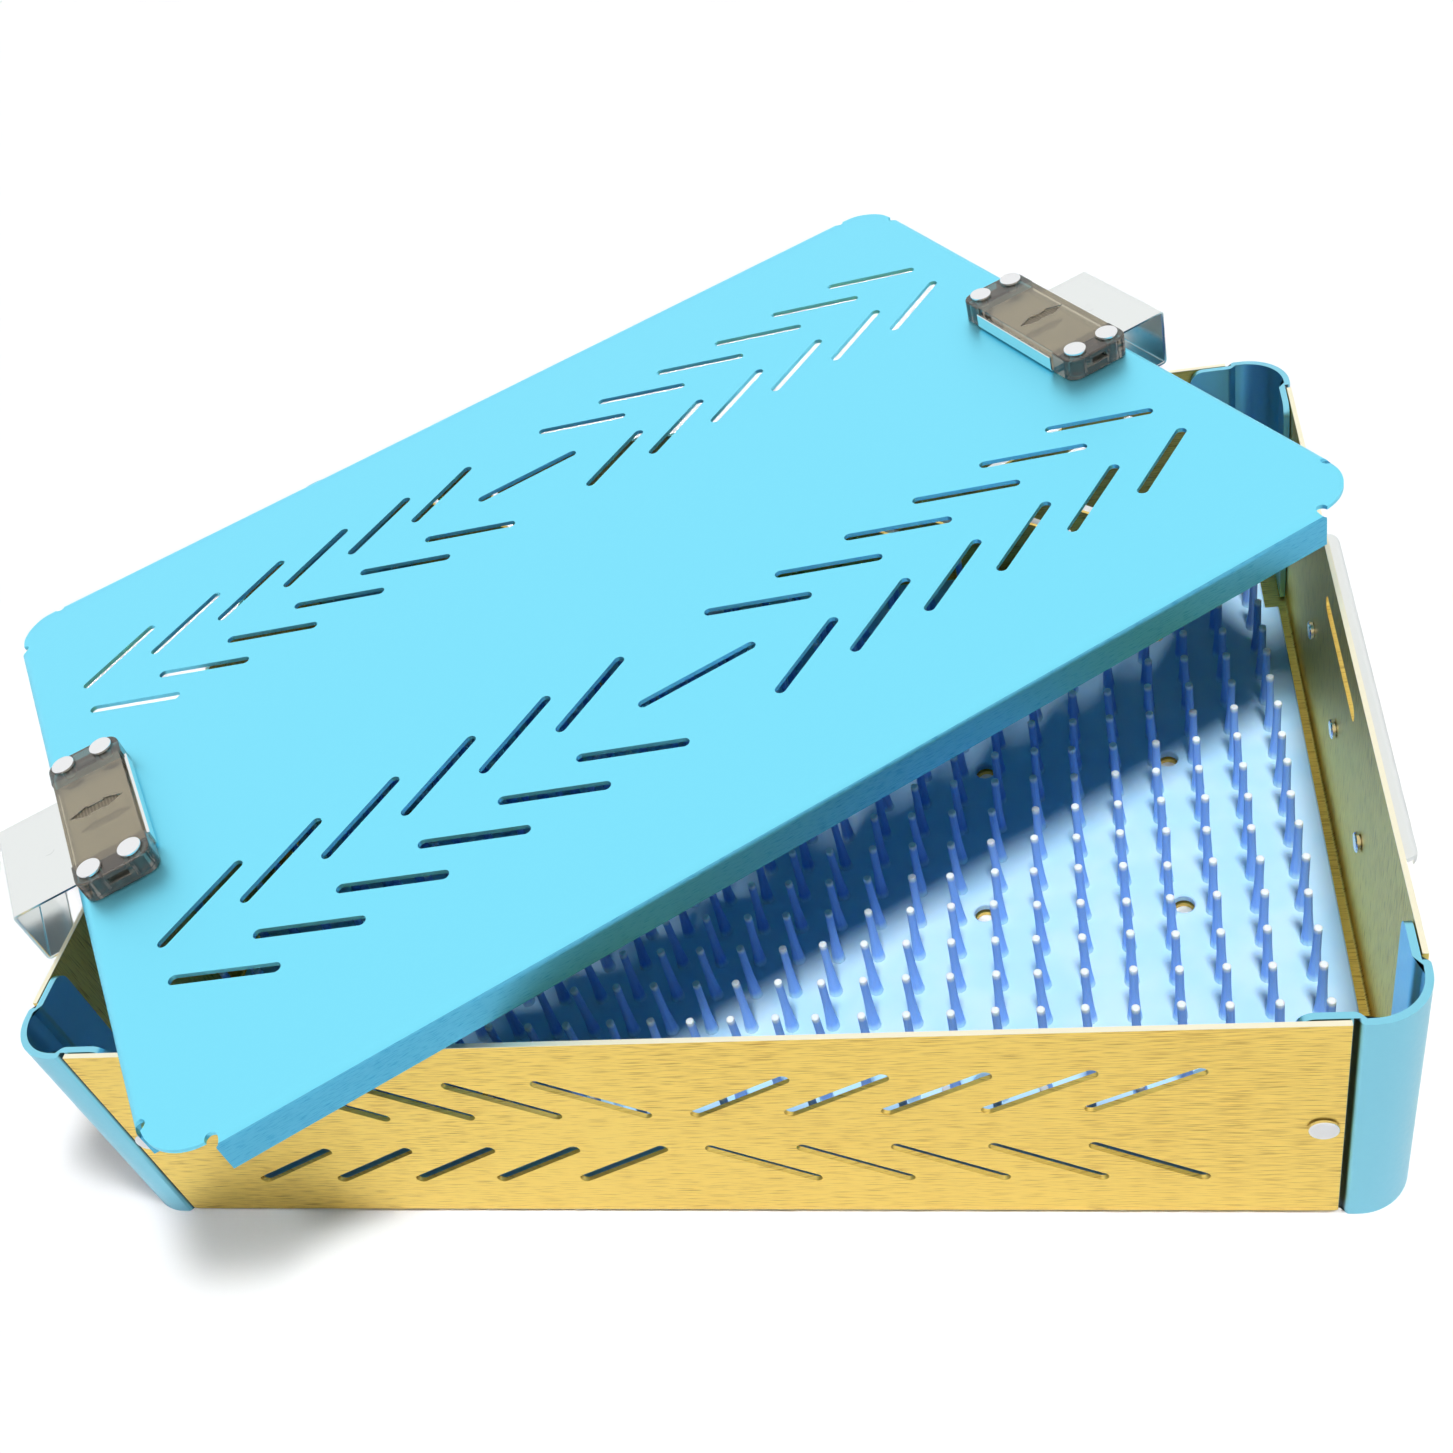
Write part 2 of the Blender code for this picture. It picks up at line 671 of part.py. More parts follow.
# Lid, in its own frame: origin at the middle of its top face
def lid_frame():
    # The left wall carries the flange, and the back wall the hook of the right latch.
    along = (HALF_DEPTH - LID_CENTRE_Y - HOOK_TIP * math.sin(LID_TURN)) / math.cos(LID_TURN)
    hook_x = LID_CENTRE_X + HOOK_TIP * math.cos(LID_TURN) - along * math.sin(LID_TURN)
    span = hook_x + HALF_LENGTH
    tilt = math.atan((HOOK_DROP - LID_DROP + HOOK_REST_GAP - FIT_GAP) / span)
    to_wall = HALF_LENGTH + LID_CENTRE_X
    height = BOX_HEIGHT + FIT_GAP + LID_DROP * math.cos(tilt) + to_wall * math.sin(tilt)
    place = Matrix.Translation((LID_CENTRE_X, LID_CENTRE_Y, height))
    return place @ Matrix.Rotation(-tilt, 4, "Y") @ Matrix.Rotation(LID_TURN, 4, "Z")


def latch_rivet_places(side):
    for row in (-1, 1):
        for end in (-1, 1):
            yield side * LATCH_PLACE + end * HOUSING_RIVET_X, row * HOUSING_RIVET_Y


def ear_column(sx, sy):
    # What is cut off at a corner outside the rounded ear.
    centre = (LID_HALF_X - EAR_INSET - EAR_RADIUS, LID_HALF_Y - EAR_INSET - EAR_RADIUS)
    start_x = LID_HALF_X - EAR_LENGTH
    start_y = LID_HALF_Y - EAR_LENGTH
    out_x = LID_HALF_X + OVERRUN
    out_y = LID_HALF_Y + OVERRUN
    outline = [(start_x, out_y), (start_x, LID_HALF_Y - EAR_INSET)]
    outline += arc(centre, EAR_RADIUS, math.pi / 2, 0, CORNER_STEPS)
    outline += [(LID_HALF_X - EAR_INSET, start_y), (out_x, start_y), (out_x, out_y)]
    return prism([(sx * x, sy * y) for x, y in outline], -LID_DROP - OVERRUN, OVERRUN)


def ear_hollow(sx, sy):
    # The flanges stop short of the ears.
    low = (LID_HALF_X - EAR_LENGTH, LID_HALF_Y - EAR_LENGTH)
    high = (LID_HALF_X + OVERRUN, LID_HALF_Y + OVERRUN)
    outline = [low, (high[0], low[1]), high, (low[0], high[1])]
    return prism([(sx * x, sy * y) for x, y in outline], -LID_DROP - OVERRUN, -SHEET)


def relief_holes():
    for sx, sy in CORNERS.values():
        x = sx * (LID_HALF_X - EAR_LENGTH)
        y = sy * (LID_HALF_Y - EAR_LENGTH)
        on_long_side = (x, sy * (LID_HALF_Y - EAR_INSET))
        on_short_side = (sx * (LID_HALF_X - EAR_INSET), y)
        for place in (on_long_side, on_short_side):
            outline = circle(place, EAR_RELIEF_RADIUS, HOLE_SIDES)
            yield prism(outline, -SHEET - LID_BEND, OVERRUN)


def make_lid(frame, looks):
    whole = block((-LID_HALF_X, -LID_HALF_Y, -LID_DROP), (LID_HALF_X, LID_HALF_Y, 0))
    bevel_edges(whole, LID_BEND, lambda a, b: a.z == 0 and b.z == 0)
    lid = add_object("lid_cover", whole, looks["blue"], frame)
    inner_x = LID_HALF_X - SHEET
    inner_y = LID_HALF_Y - SHEET
    inside = block((-inner_x, -inner_y, -LID_DROP - OVERRUN), (inner_x, inner_y, -SHEET))
    ceiling = -SHEET - FIT_GAP
    bevel_edges(inside, LID_BEND - SHEET, lambda a, b: a.z > ceiling and b.z > ceiling)
    combine(lid, inside)
    combine(lid, joined(*(ear_hollow(sx, sy) for sx, sy in CORNERS.values())))
    combine(lid, joined(*(ear_column(sx, sy) for sx, sy in CORNERS.values())))
    combine(lid, joined(*relief_holes()))
    cuts = lid_vents()
    for side in ENDS.values():
        cuts += [hole("+Z", (x, y, 0)) for x, y in latch_rivet_places(side)]
    combine(lid, joined(*cuts))
    shade(lid)


# Latches, in a frame at the lid's middle with +X towards the hook
def arrow_outline():
    half = ARROW_LENGTH / 2
    neck = half - ARROW_HEAD_LENGTH
    upper = [(half, 0), (neck, ARROW_HALF_WIDTH), (neck, ARROW_SHAFT_HALF)]
    upper += [(-x, y) for x, y in upper[:0:-1]]
    lower = [(-half, 0)] + [(x, -y) for x, y in upper[:0:-1]]
    return [(LATCH_PLACE + x, y) for x, y in upper + lower]


def housing_mesh():
    outline = [
        (LATCH_PLACE + x, y)
        for x, y in rounded_rectangle(HOUSING_WIDTH / 2, HOUSING_LENGTH / 2, HOUSING_RADIUS)
    ]
    body = prism(outline, FIT_GAP, HOUSING_TOP)
    bevel_edges(body, HOUSING_EDGE, lambda a, b: a.z == b.z and a.z > HOUSING_HEIGHT / 2, 2)
    return body


def housing_cuts():
    # The slide's channel, the shallow waist beside it and a slot in each end face.
    side = HOUSING_WIDTH / 2 + OVERRUN
    left = LATCH_PLACE - side
    right = LATCH_PLACE + side
    cuts = [block((left, -CHANNEL_HALF, -OVERRUN), (right, CHANNEL_HALF, CHANNEL_TOP))]
    for low, high in (
        (left, LATCH_PLACE - HOUSING_WAIST_HALF),
        (LATCH_PLACE + HOUSING_WAIST_HALF, right),
    ):
        cuts.append(
            block((low, -CHANNEL_HALF, -OVERRUN - FIT_GAP), (high, CHANNEL_HALF, HOUSING_TOP + OVERRUN))
        )
    slot_half = HOUSING_SLOT_WIDTH / 2
    slot_top = HOUSING_TOP - HOUSING_ROOF
    outer = HOUSING_LENGTH / 2 + OVERRUN
    inner = HOUSING_LENGTH / 2 - HOUSING_SLOT_DEPTH
    for low, high in ((-outer, -inner), (inner, outer)):
        cuts.append(
            block(
                (LATCH_PLACE - slot_half, low, slot_top - HOUSING_SLOT_HEIGHT),
                (LATCH_PLACE + slot_half, high, slot_top),
            )
        )
    return cuts


def slide_path():
    # The upper face of the slide, from its upright end to the tip of the hook's lip.
    bend = SLIDE_BEND
    low = -HOOK_DROP
    end = SLIDE_END
    inner = SLIDE_END_BEND
    path = [(end, SLIDE_END_HEIGHT)]
    path += arc((end + inner, SLIDE_TOP + inner), inner, math.pi, 3 * math.pi / 2, BEND_STEPS)
    path += arc((HOOK_REACH - bend, SLIDE_TOP - bend), bend, math.pi / 2, 0, BEND_STEPS)
    path += arc((HOOK_REACH - bend, low + bend), bend, 0, -math.pi / 2, BEND_STEPS)
    path.append((HOOK_TIP, low))
    return path


def slide_mesh():
    half = SLIDE_WIDTH / 2
    return prism(strip(slide_path(), -SLIDE_SHEET), -half, half, "XZ")


def slide_cuts():
    dimple_x = LATCH_PLACE + DIMPLE_PLACE
    dimple = prism(
        circle((dimple_x, 0), DIMPLE_RADIUS, HOLE_SIDES), SLIDE_TOP - DIMPLE_DEPTH, SLIDE_TOP + OVERRUN
    )
    cuts = [dimple]
    half = SLIDE_WIDTH / 2
    for end in (-1, 1):
        corner = [
            (HOOK_TIP - FIT_GAP, end * (half - HOOK_CORNER - FIT_GAP)),
            (HOOK_TIP - FIT_GAP, end * (half + FIT_GAP)),
            (HOOK_TIP + HOOK_CORNER + FIT_GAP, end * (half + FIT_GAP)),
        ]
        cuts.append(prism(corner, -HOOK_DROP - FIT_GAP, SLIDE_SHEET + FIT_GAP - HOOK_DROP))
    return cuts


def make_latch(name, side, frame, looks):
    turn = Matrix() if side > 0 else Matrix.Rotation(math.pi, 4, "Z")
    latch = empty(name + "_latch_frame", turn, frame)
    housing = add_object(name + "_latch_housing", housing_mesh(), looks["smoke"], latch)
    for cut in housing_cuts():
        combine(housing, cut)
    above = HOUSING_TOP + OVERRUN
    details = [prism(arrow_outline(), HOUSING_TOP - ARROW_DEPTH, above)]
    for x, y in latch_rivet_places(1):
        details.append(prism(circle((x, y), SHANK_HOLE_RADIUS, HOLE_SIDES), 0, above))
    combine(housing, joined(*details))
    shade(housing)
    slide = add_object(name + "_latch_slide", slide_mesh(), looks["steel"], latch)
    combine(slide, joined(*slide_cuts()))
    shade(slide)
    grip = HOUSING_TOP + SHEET
    for count, (x, y) in enumerate(latch_rivet_places(1), 1):
        place = facing("+Z", (x, y, HOUSING_TOP))
        make_rivet(f"{name}_latch_rivet_{count}", place, grip, looks, latch)


def main():
    clear_scene()
    looks = make_materials()
    make_tray(looks)
    for name, (sx, sy) in CORNERS.items():
        make_post(name, sx, sy, looks)
    for name, side in ENDS.items():
        make_bracket(name, side, looks)
    make_mat(looks)
    frame = empty("lid_frame", lid_frame())
    make_lid(frame, looks)
    for name, side in ENDS.items():
        make_latch(name, side, frame, looks)


main()
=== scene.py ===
# Dresses the sterilization box: sheet metal with soft bends and punched vents, rivets,
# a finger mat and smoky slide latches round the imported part, in the studio that it
# stands in. Metres, +Z up, origin under the middle of the tray.
import json
import math

import bmesh
import bpy
from mathutils import Matrix, Vector


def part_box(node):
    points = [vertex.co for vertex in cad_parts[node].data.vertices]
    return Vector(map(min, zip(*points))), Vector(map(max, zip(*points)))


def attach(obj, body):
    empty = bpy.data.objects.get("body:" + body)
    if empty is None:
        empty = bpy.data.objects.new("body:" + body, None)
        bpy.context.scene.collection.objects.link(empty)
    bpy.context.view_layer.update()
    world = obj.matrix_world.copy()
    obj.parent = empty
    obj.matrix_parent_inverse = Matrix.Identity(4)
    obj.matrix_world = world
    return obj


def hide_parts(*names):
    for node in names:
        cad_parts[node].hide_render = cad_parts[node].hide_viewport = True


bl_info = {
    "name": "Sterilization Box",
    "version": (1, 0, 0),
    "blender": (4, 5, 0),
    "location": "View3D > Sidebar > Sterilization Box",
    "description": "Builds an aluminium sterilization box with a finger mat and a latched lid",
    "category": "Add Mesh",
}

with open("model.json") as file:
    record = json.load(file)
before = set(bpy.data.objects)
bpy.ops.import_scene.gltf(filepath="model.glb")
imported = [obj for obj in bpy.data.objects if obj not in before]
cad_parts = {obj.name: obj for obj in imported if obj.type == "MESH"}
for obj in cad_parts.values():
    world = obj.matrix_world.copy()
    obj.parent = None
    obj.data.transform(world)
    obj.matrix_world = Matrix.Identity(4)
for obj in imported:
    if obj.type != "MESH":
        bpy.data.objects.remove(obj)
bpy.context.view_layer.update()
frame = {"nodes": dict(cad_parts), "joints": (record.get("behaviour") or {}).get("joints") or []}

CORNERS = {
    "front_left": (-1, -1),
    "front_right": (1, -1),
    "back_left": (-1, 1),
    "back_right": (1, 1),
}
ENDS = {"left": -1, "right": 1}
SHARP_ANGLE = math.radians(35)
SLOT_SIDES = 26
DRAIN_SIDES = 24
RIVET_HOLE_SIDES = 20
DISH_SIDES = 28
FINGER_SIDES = 10
FINGER_RINGS = 8
LEAN_SEED = 11
MAT_SHEET = 0.0020


# How the lid lies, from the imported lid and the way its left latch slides
def lid_matrix():
    joint = next(j for j in frame["joints"] if j["name"] == "left_latch_slide_in")
    along = Vector(joint["axis"]).normalized()
    tilt = math.atan2(along.z, along.x)
    turn = math.asin(along.y)
    return Matrix.Rotation(-tilt, 4, "Y") @ Matrix.Rotation(turn, 4, "Z")


def lid_box():
    """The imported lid's lowest and highest corner in its own turned axes."""
    unturned = lid_matrix().inverted()
    points = [unturned @ v.co for v in frame["nodes"]["lid_cover"].data.vertices]
    low = Vector([min(p[i] for p in points) for i in range(3)])
    high = Vector([max(p[i] for p in points) for i in range(3)])
    return low, high


TRAY_LOW, TRAY_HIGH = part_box("box_tray")
MAT_LOW, MAT_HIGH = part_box("silicone_mat")
BRACKET_LOW, BRACKET_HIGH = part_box("right_handle_bracket")
LID_LOW, LID_HIGH = lid_box()
LID_SIZE = LID_HIGH - LID_LOW
LID_CENTRE = lid_matrix() @ Vector(
    ((LID_LOW.x + LID_HIGH.x) / 2, (LID_LOW.y + LID_HIGH.y) / 2, LID_HIGH.z)
)
LID_PLACE = Matrix.Translation(LID_CENTRE) @ lid_matrix()


# Settings that a user would change
def setting(kind, **traits):
    """A maker of settings that share those traits."""

    def make(name, description, default):
        return kind(name=name, description=description, default=default, **traits)

    return make


decimal = bpy.props.FloatProperty
length_traits = {"precision": 5, "subtype": "DISTANCE", "unit": "LENGTH"}
size = setting(decimal, min=0, **length_traits)
offset = setting(decimal, **length_traits)
strength = setting(decimal, min=0)
share = setting(decimal, min=0, max=1, subtype="FACTOR")
count = setting(bpy.props.IntProperty, min=1)
colour = setting(bpy.props.FloatVectorProperty, size=3, min=0, max=1, subtype="COLOR")


def angle(name, description, degrees):
    return setting(decimal, subtype="ANGLE")(name, description, math.radians(degrees))


class SheetSettings(bpy.types.PropertyGroup):
    thickness: size("Thickness", "Thickness of the aluminium sheet", 0.0010)
    chamfer: size("Chamfer", "Width of the broken edge of cut sheet", 0.00012)
    gap: size("Gap", "Clearance between pieces that touch", 0.0003)
    overrun: size("Overrun", "How far a cutter runs past what it cuts", 0.0040)
    steps: count("Steps", "Facets in each rounding", 8)


class TraySettings(bpy.types.PropertyGroup):
    length: size("Length", "Outside length of the tray", TRAY_HIGH.x - TRAY_LOW.x)
    depth: size("Depth", "Outside depth of the tray", TRAY_HIGH.y - TRAY_LOW.y)
    height: size("Height", "Height of the walls", TRAY_HIGH.z)
    bend: size("Bend", "Outer radius of the folds at the floor", 0.0016)
    corner_cut: size("Corner cut", "Chamfer at the foot of each wall end", 0.0016)
    post_face: size("Post face", "How much of each wall is left to a corner post", 0.0134)
    slot_length: size("Hook slot length", "Length of the slot for a hook", 0.0356)
    slot_height: size("Hook slot height", "Height of the slot for a hook", 0.0042)
    slot_low: size("Hook slot place", "Height of the hook slot's lower edge", 0.0462)


class VentSettings(bpy.types.PropertyGroup):
    length: size("Length", "Length of a slanted vent slot", 0.0235)
    width: size("Width", "Width of a vent slot", 0.0024)
    slant: angle("Slant", "Slant of the vent slots", 30)
    pitch: size("Pitch", "Distance from one slot to the next", 0.01763)
    wall_count: count("Wall slots", "Slots in each quarter of a long wall", 5)
    wall_first: size("First wall slot", "Distance of the first wall slot from the middle", 0.0140)
    wall_low: size("Lower wall row", "Height of the lower row on the walls", 0.0186)
    wall_rise: size("Wall rows apart", "Distance between the two rows on the walls", 0.0226)
    lid_count: count("Lid slots", "Slots in each quarter of a chevron band", 6)
    lid_first: size("First lid slot", "Distance of the first lid slot from the middle", 0.02025)
    lid_band: size("Lid band", "Distance of a chevron band from the middle of the lid", 0.0495)
    lid_spread: size("Lid rows", "Distance of a row of slots from its band's middle", 0.0109)
    lid_middle: size("Middle slot", "Length of the straight slot amid each band", 0.0276)


class PostSettings(bpy.types.PropertyGroup):
    radius: size("Radius", "Outer radius of a corner post", 0.0102)
    thickness: size("Thickness", "Thickness of a post's sheet", 0.0013)
    lap: size("Lap", "How far a post reaches behind each wall", 0.0082)
    step: size("Step", "Run of the joggle between a post's face and its laps", 0.0016)
    lap_corner: size("Lap corner", "Radius at the top end of a lap", 0.0030)


class BracketSettings(bpy.types.PropertyGroup):
    length: size("Length", "Length of a handle bracket", BRACKET_HIGH.y - BRACKET_LOW.y)
    thickness: size("Thickness", "Thickness of a bracket's sheet", 0.0010)
    low: size("Foot", "Height of a bracket's lower edge", BRACKET_LOW.z)
    top: size("Top", "Height of a bracket's top face", BRACKET_HIGH.z)
    reach: size("Reach", "How far a bracket stands out from the wall", 0.0061)
    lip: size("Lip", "Drop of a bracket's lip", 0.0026)
    corner: size("Corner", "Radius of a bracket's outer corners", 0.0030)
    bend: size("Bend", "Outer radius of a bracket's folds", 0.0014)


class RivetSettings(bpy.types.PropertyGroup):
    head_radius: size("Head radius", "Radius of a rivet's head", 0.00255)
    head_height: size("Head height", "Height of a rivet's head", 0.0009)
    shank_radius: size("Shank radius", "Radius of a rivet's shank", 0.0013)
    tail_radius: size("Tail radius", "Radius of a rivet's tail", 0.0021)
    tail_height: size("Tail height", "Height of a rivet's tail", 0.0008)
    post_inset: size("Post inset", "Distance of a post rivet from the wall's end", 0.0034)
    bracket_pitch: size("Bracket pitch", "Distance between the rivets of a bracket", 0.0315)
    bracket_height: size("Bracket row", "Height of the rivets of a bracket", 0.0278)
    sides: count("Sides", "Sides of a rivet", 28)


class MatSettings(bpy.types.PropertyGroup):
    low: size("Underside", "Height of the mat's underside", MAT_LOW.z)
    length: size("Length", "Length of the mat", MAT_HIGH.x - MAT_LOW.x)
    depth: size("Depth", "Depth of the mat", MAT_HIGH.y - MAT_LOW.y)
    thickness: size("Thickness", "Thickness of the mat's sheet", MAT_SHEET)
    notch_depth: size("Notch depth", "Depth of the corner notches", 0.0032)
    notch_length: size("Notch length", "Length of the corner notches", 0.0231)
    columns: count("Columns", "Fingers along the mat", 28)
    rows: count("Rows", "Fingers across the mat", 19)
    pitch_x: size("Pitch along", "Distance between fingers along the mat", 0.00889)
    pitch_y: size("Pitch across", "Distance between fingers across the mat", 0.00890)
    shift_x: offset("Shift along", "Offset of the fingers along the mat", -0.0006)
    shift_y: offset("Shift across", "Offset of the fingers across the mat", -0.0006)
    finger_height: size("Finger height", "Height of a finger", MAT_HIGH.z - MAT_LOW.z - MAT_SHEET)
    foot_radius: size("Foot radius", "Radius of a finger at its foot", 0.00160)
    tip_radius: size("Tip radius", "Radius of a finger near its tip", 0.00086)
    tip_edge: size("Tip edge", "Width of the broken edge round a finger's tip", 0.00022)
    lean: angle("Lean", "How far the soft fingers lean at most", 1.6)


class DrainSettings(bpy.types.PropertyGroup):
    inner: size("Inner column", "Distance of the inner drain holes from the middle", 0.0536)
    pitch_x: size("Columns apart", "Distance between the two columns of a side", 0.0422)
    pitch_y: size("Rows apart", "Distance between the rows", 0.0434)
    shift_y: offset("Shift", "Offset of the rows across the tray", -0.0034)
    rows: count("Rows", "Rows of drain holes", 4)
    mat_radius: size("Radius in the mat", "Radius of a drain hole in the mat", 0.0023)
    floor_radius: size("Radius in the floor", "Radius of a drain hole in the tray", 0.0020)


class LidSettings(bpy.types.PropertyGroup):
    length: size("Length", "Outside length of the lid", LID_SIZE.x)
    depth: size("Depth", "Outside depth of the lid", LID_SIZE.y)
    drop: size("Drop", "Height of the flange", LID_SIZE.z)
    bend: size("Bend", "Outer radius of the folds", 0.0022)
    ear: size("Ear", "Length of the flat ear at each corner", 0.0125)
    ear_inset: size("Ear inset", "How far an ear lies within the flanges", 0.0013)
    ear_radius: size("Ear radius", "Radius of an ear", 0.0105)
    relief: size("Relief", "Radius of the notch beside an ear", 0.0012)


class LatchSettings(bpy.types.PropertyGroup):
    inset: size("Inset", "Distance of a housing's middle from the lid's end", 0.0101)
    width: size("Width", "Width of a housing", 0.0163)
    length: size("Length", "Length of a housing", 0.0454)
    height: size("Height", "Height of a housing", 0.0052)
    radius: size("Radius", "Corner radius of a housing", 0.0030)
    edge: size("Edge", "Rounding of a housing's upper edge", 0.0005)
    waist: size("Waist", "Depth of the shallow waist", 0.0004)
    cheek: size("Cheek", "Length of each solid end", 0.0077)
    rivet_inset_x: size("Rivet inset across", "Rivet's distance from the long edge", 0.00375)
    rivet_inset_y: size("Rivet inset along", "Rivet's distance from the short edge", 0.0035)
    slot_width: size("End slot width", "Width of the slot in an end face", 0.0046)
    slot_height: size("End slot height", "Height of the slot in an end face", 0.0016)
    slot_depth: size("End slot depth", "Depth of the slot in an end face", 0.0055)
    roof: size("Roof", "Plastic above an end slot", 0.0014)
    arrow_length: size("Arrow length", "Length of the engraved arrow", 0.0120)
    arrow_head: size("Arrow head", "Length of an arrow head", 0.0041)
    arrow_half: size("Arrow half width", "Half width of an arrow head", 0.0018)
    arrow_shaft: size("Arrow shaft", "Half width of the arrow's shaft", 0.0012)
    arrow_depth: size("Arrow depth", "Depth of the engraving", 0.0004)
    hatch_pitch: size("Hatch", "Distance between the lines that shade the arrow", 0.0007)
    slide_sheet: size("Slide sheet", "Thickness of a slide's sheet", 0.0007)
    slide_bend: size("Slide bend", "Radius of a slide's folds", 0.0010)
    end_bend: size("End bend", "Radius of the fold at the upright end", 0.0003)
    end_height: size("Upright end", "Height of the upright end", 0.0042)
    overhang: size("Overhang", "How far the hook reaches past the lid", 0.01342)
    hook_drop: size("Hook drop", "Drop of the hook", 0.0134)
    hook_lip: size("Hook lip", "Length of the hook's lip", 0.0060)
    hook_corner: size("Hook corner", "Cut at the lip's corners", 0.0030)
    dimple_place: size("Dimple place", "Distance of the dimple from the housing's middle", 0.0133)
    dimple_radius: size("Dimple radius", "Radius of the dimple", 0.0014)
    dimple_depth: size("Dimple depth", "Depth of the dimple", 0.0003)


class FinishSettings(bpy.types.PropertyGroup):
    gold: colour("Gold", "Gold anodised sheet of the tray", (1.00, 0.74, 0.19))
    gold_grain: colour("Gold grain", "Darker strokes in the gold", (0.52, 0.29, 0.05))
    # gold_rim is a painted highlight along the sheet's top edge, paler than the gold.
    gold_rim: colour("Gold rim", "Bare upper edge of the gold sheet", (0.98, 0.93, 0.72))
    blue: colour("Lid blue", "Blue anodised sheet of the lid", (0.225, 0.79, 0.99))
    # flange and flange_grain are painted shade: the lid's flanges are painted a deeper blue than its
    # top, because they face sideways and take darker reflections.
    flange: colour("Flange blue", "Deeper blue of the lid's flanges", (0.12, 0.50, 0.72))
    flange_grain: colour("Flange grain", "Strokes in the flanges", (0.05, 0.34, 0.60))
    post: colour("Post blue", "Satin blue of the corner posts", (0.26, 0.67, 0.83))
    # joint is painted shade: the dark line in the gap where a post steps in behind a wall.
    joint: colour("Joint", "Dark line where a post steps in behind a wall", (0.01, 0.03, 0.04))
    steel: colour("Steel", "Stainless steel of slides and brackets", (0.82, 0.85, 0.84))
    rivet: colour("Rivet", "Bright aluminium of the rivets", (0.84, 0.85, 0.86))
    mat: colour("Mat", "Silicone of the mat's sheet", (0.48, 0.77, 1.00))
    # finger and tip are painted light: the deeper blue and the pale tips stand for light that passes
    # through the silicone and leaves bright at the tips.
    finger: colour("Finger", "Silicone of the fingers", (0.28, 0.50, 0.98))
    tip: colour("Tip", "Pale tips of the fingers", (0.90, 0.96, 1.00))
    smoke: colour("Smoke", "Smoky plastic of the housings", (0.62, 0.56, 0.43))
    smoke_end: colour("Smoky ends", "The housings' solid ends", (0.34, 0.30, 0.26))
    engraving: colour("Engraving", "The arrow engraved in a housing", (0.20, 0.16, 0.12))
    gold_stroke: size("Gold stroke", "Length of a stroke in the gold", 0.0060)
    gold_stroke_width: size("Gold stroke width", "Width of a stroke in the gold", 0.00021)
    flange_stroke: size("Flange stroke", "Length of a stroke in the flanges", 0.0022)
    flange_stroke_width: size("Flange stroke width", "Width of a flange's stroke", 0.00022)


class StageSettings(bpy.types.PropertyGroup):
    floor: colour("Floor", "Pale floor under the box", (0.96, 0.96, 0.96))
    floor_size: size("Floor size", "Width of the floor", 12)
    glow: share("Glow", "Share of plain white in the floor as the camera sees it", 0.04)
    sky: share("Sky", "Light from all round", 0.07)
    sky_tint: colour("Sky tint", "Colour of the light from all round", (0.38, 0.62, 1.00))
    front_lamp: strength("Front lamp", "Strength of the lamp in front of the box", 1.15)
    box_lamp: strength("Box lamp", "Strength of the front lamp for the box alone", 2.20)
    floor_lamp: strength("Floor lamp", "Strength of the right lamp, for the floor alone", 2.45)
    lamp_spread: angle("Lamp spread", "Apparent size of each lamp", 10)


class BoxSettings(bpy.types.PropertyGroup):
    sheet: bpy.props.PointerProperty(type=SheetSettings)
    tray: bpy.props.PointerProperty(type=TraySettings)
    vents: bpy.props.PointerProperty(type=VentSettings)
    posts: bpy.props.PointerProperty(type=PostSettings)
    brackets: bpy.props.PointerProperty(type=BracketSettings)
    rivets: bpy.props.PointerProperty(type=RivetSettings)
    mat: bpy.props.PointerProperty(type=MatSettings)
    drains: bpy.props.PointerProperty(type=DrainSettings)
    lid: bpy.props.PointerProperty(type=LidSettings)
    latches: bpy.props.PointerProperty(type=LatchSettings)
    finishes: bpy.props.PointerProperty(type=FinishSettings)
    stage: bpy.props.PointerProperty(type=StageSettings)


# Node trees written as expressions
def binary(operation, swapped=False):
    """A method that puts the value and another term through one Math node."""

    def method(self, other):
        terms = (other, self) if swapped else (self, other)
        return self.math(operation, *terms)

    return method


class Value:
    """A node's output that takes part in Python expressions."""

    def __init__(self, graph, socket):
        self.graph = graph
        self.socket = socket

    def math(self, operation, *terms):
        return self.graph.node(
            "ShaderNodeMath", {"operation": operation}, dict(enumerate(terms))
        )

    __add__ = binary("ADD")
    __radd__ = binary("ADD", swapped=True)
    __sub__ = binary("SUBTRACT")
    __rsub__ = binary("SUBTRACT", swapped=True)
    __mul__ = binary("MULTIPLY")
    __rmul__ = binary("MULTIPLY", swapped=True)
    __truediv__ = binary("DIVIDE")
    __pow__ = binary("POWER")
    __mod__ = binary("FLOORED_MODULO")
    __gt__ = binary("GREATER_THAN")
    __lt__ = binary("LESS_THAN")

    def __floordiv__(self, other):
        return self.math("FLOOR", (self + 0.5) / other)

    def __abs__(self):
        return self.math("ABSOLUTE", self)

    def __neg__(self):
        return self * -1


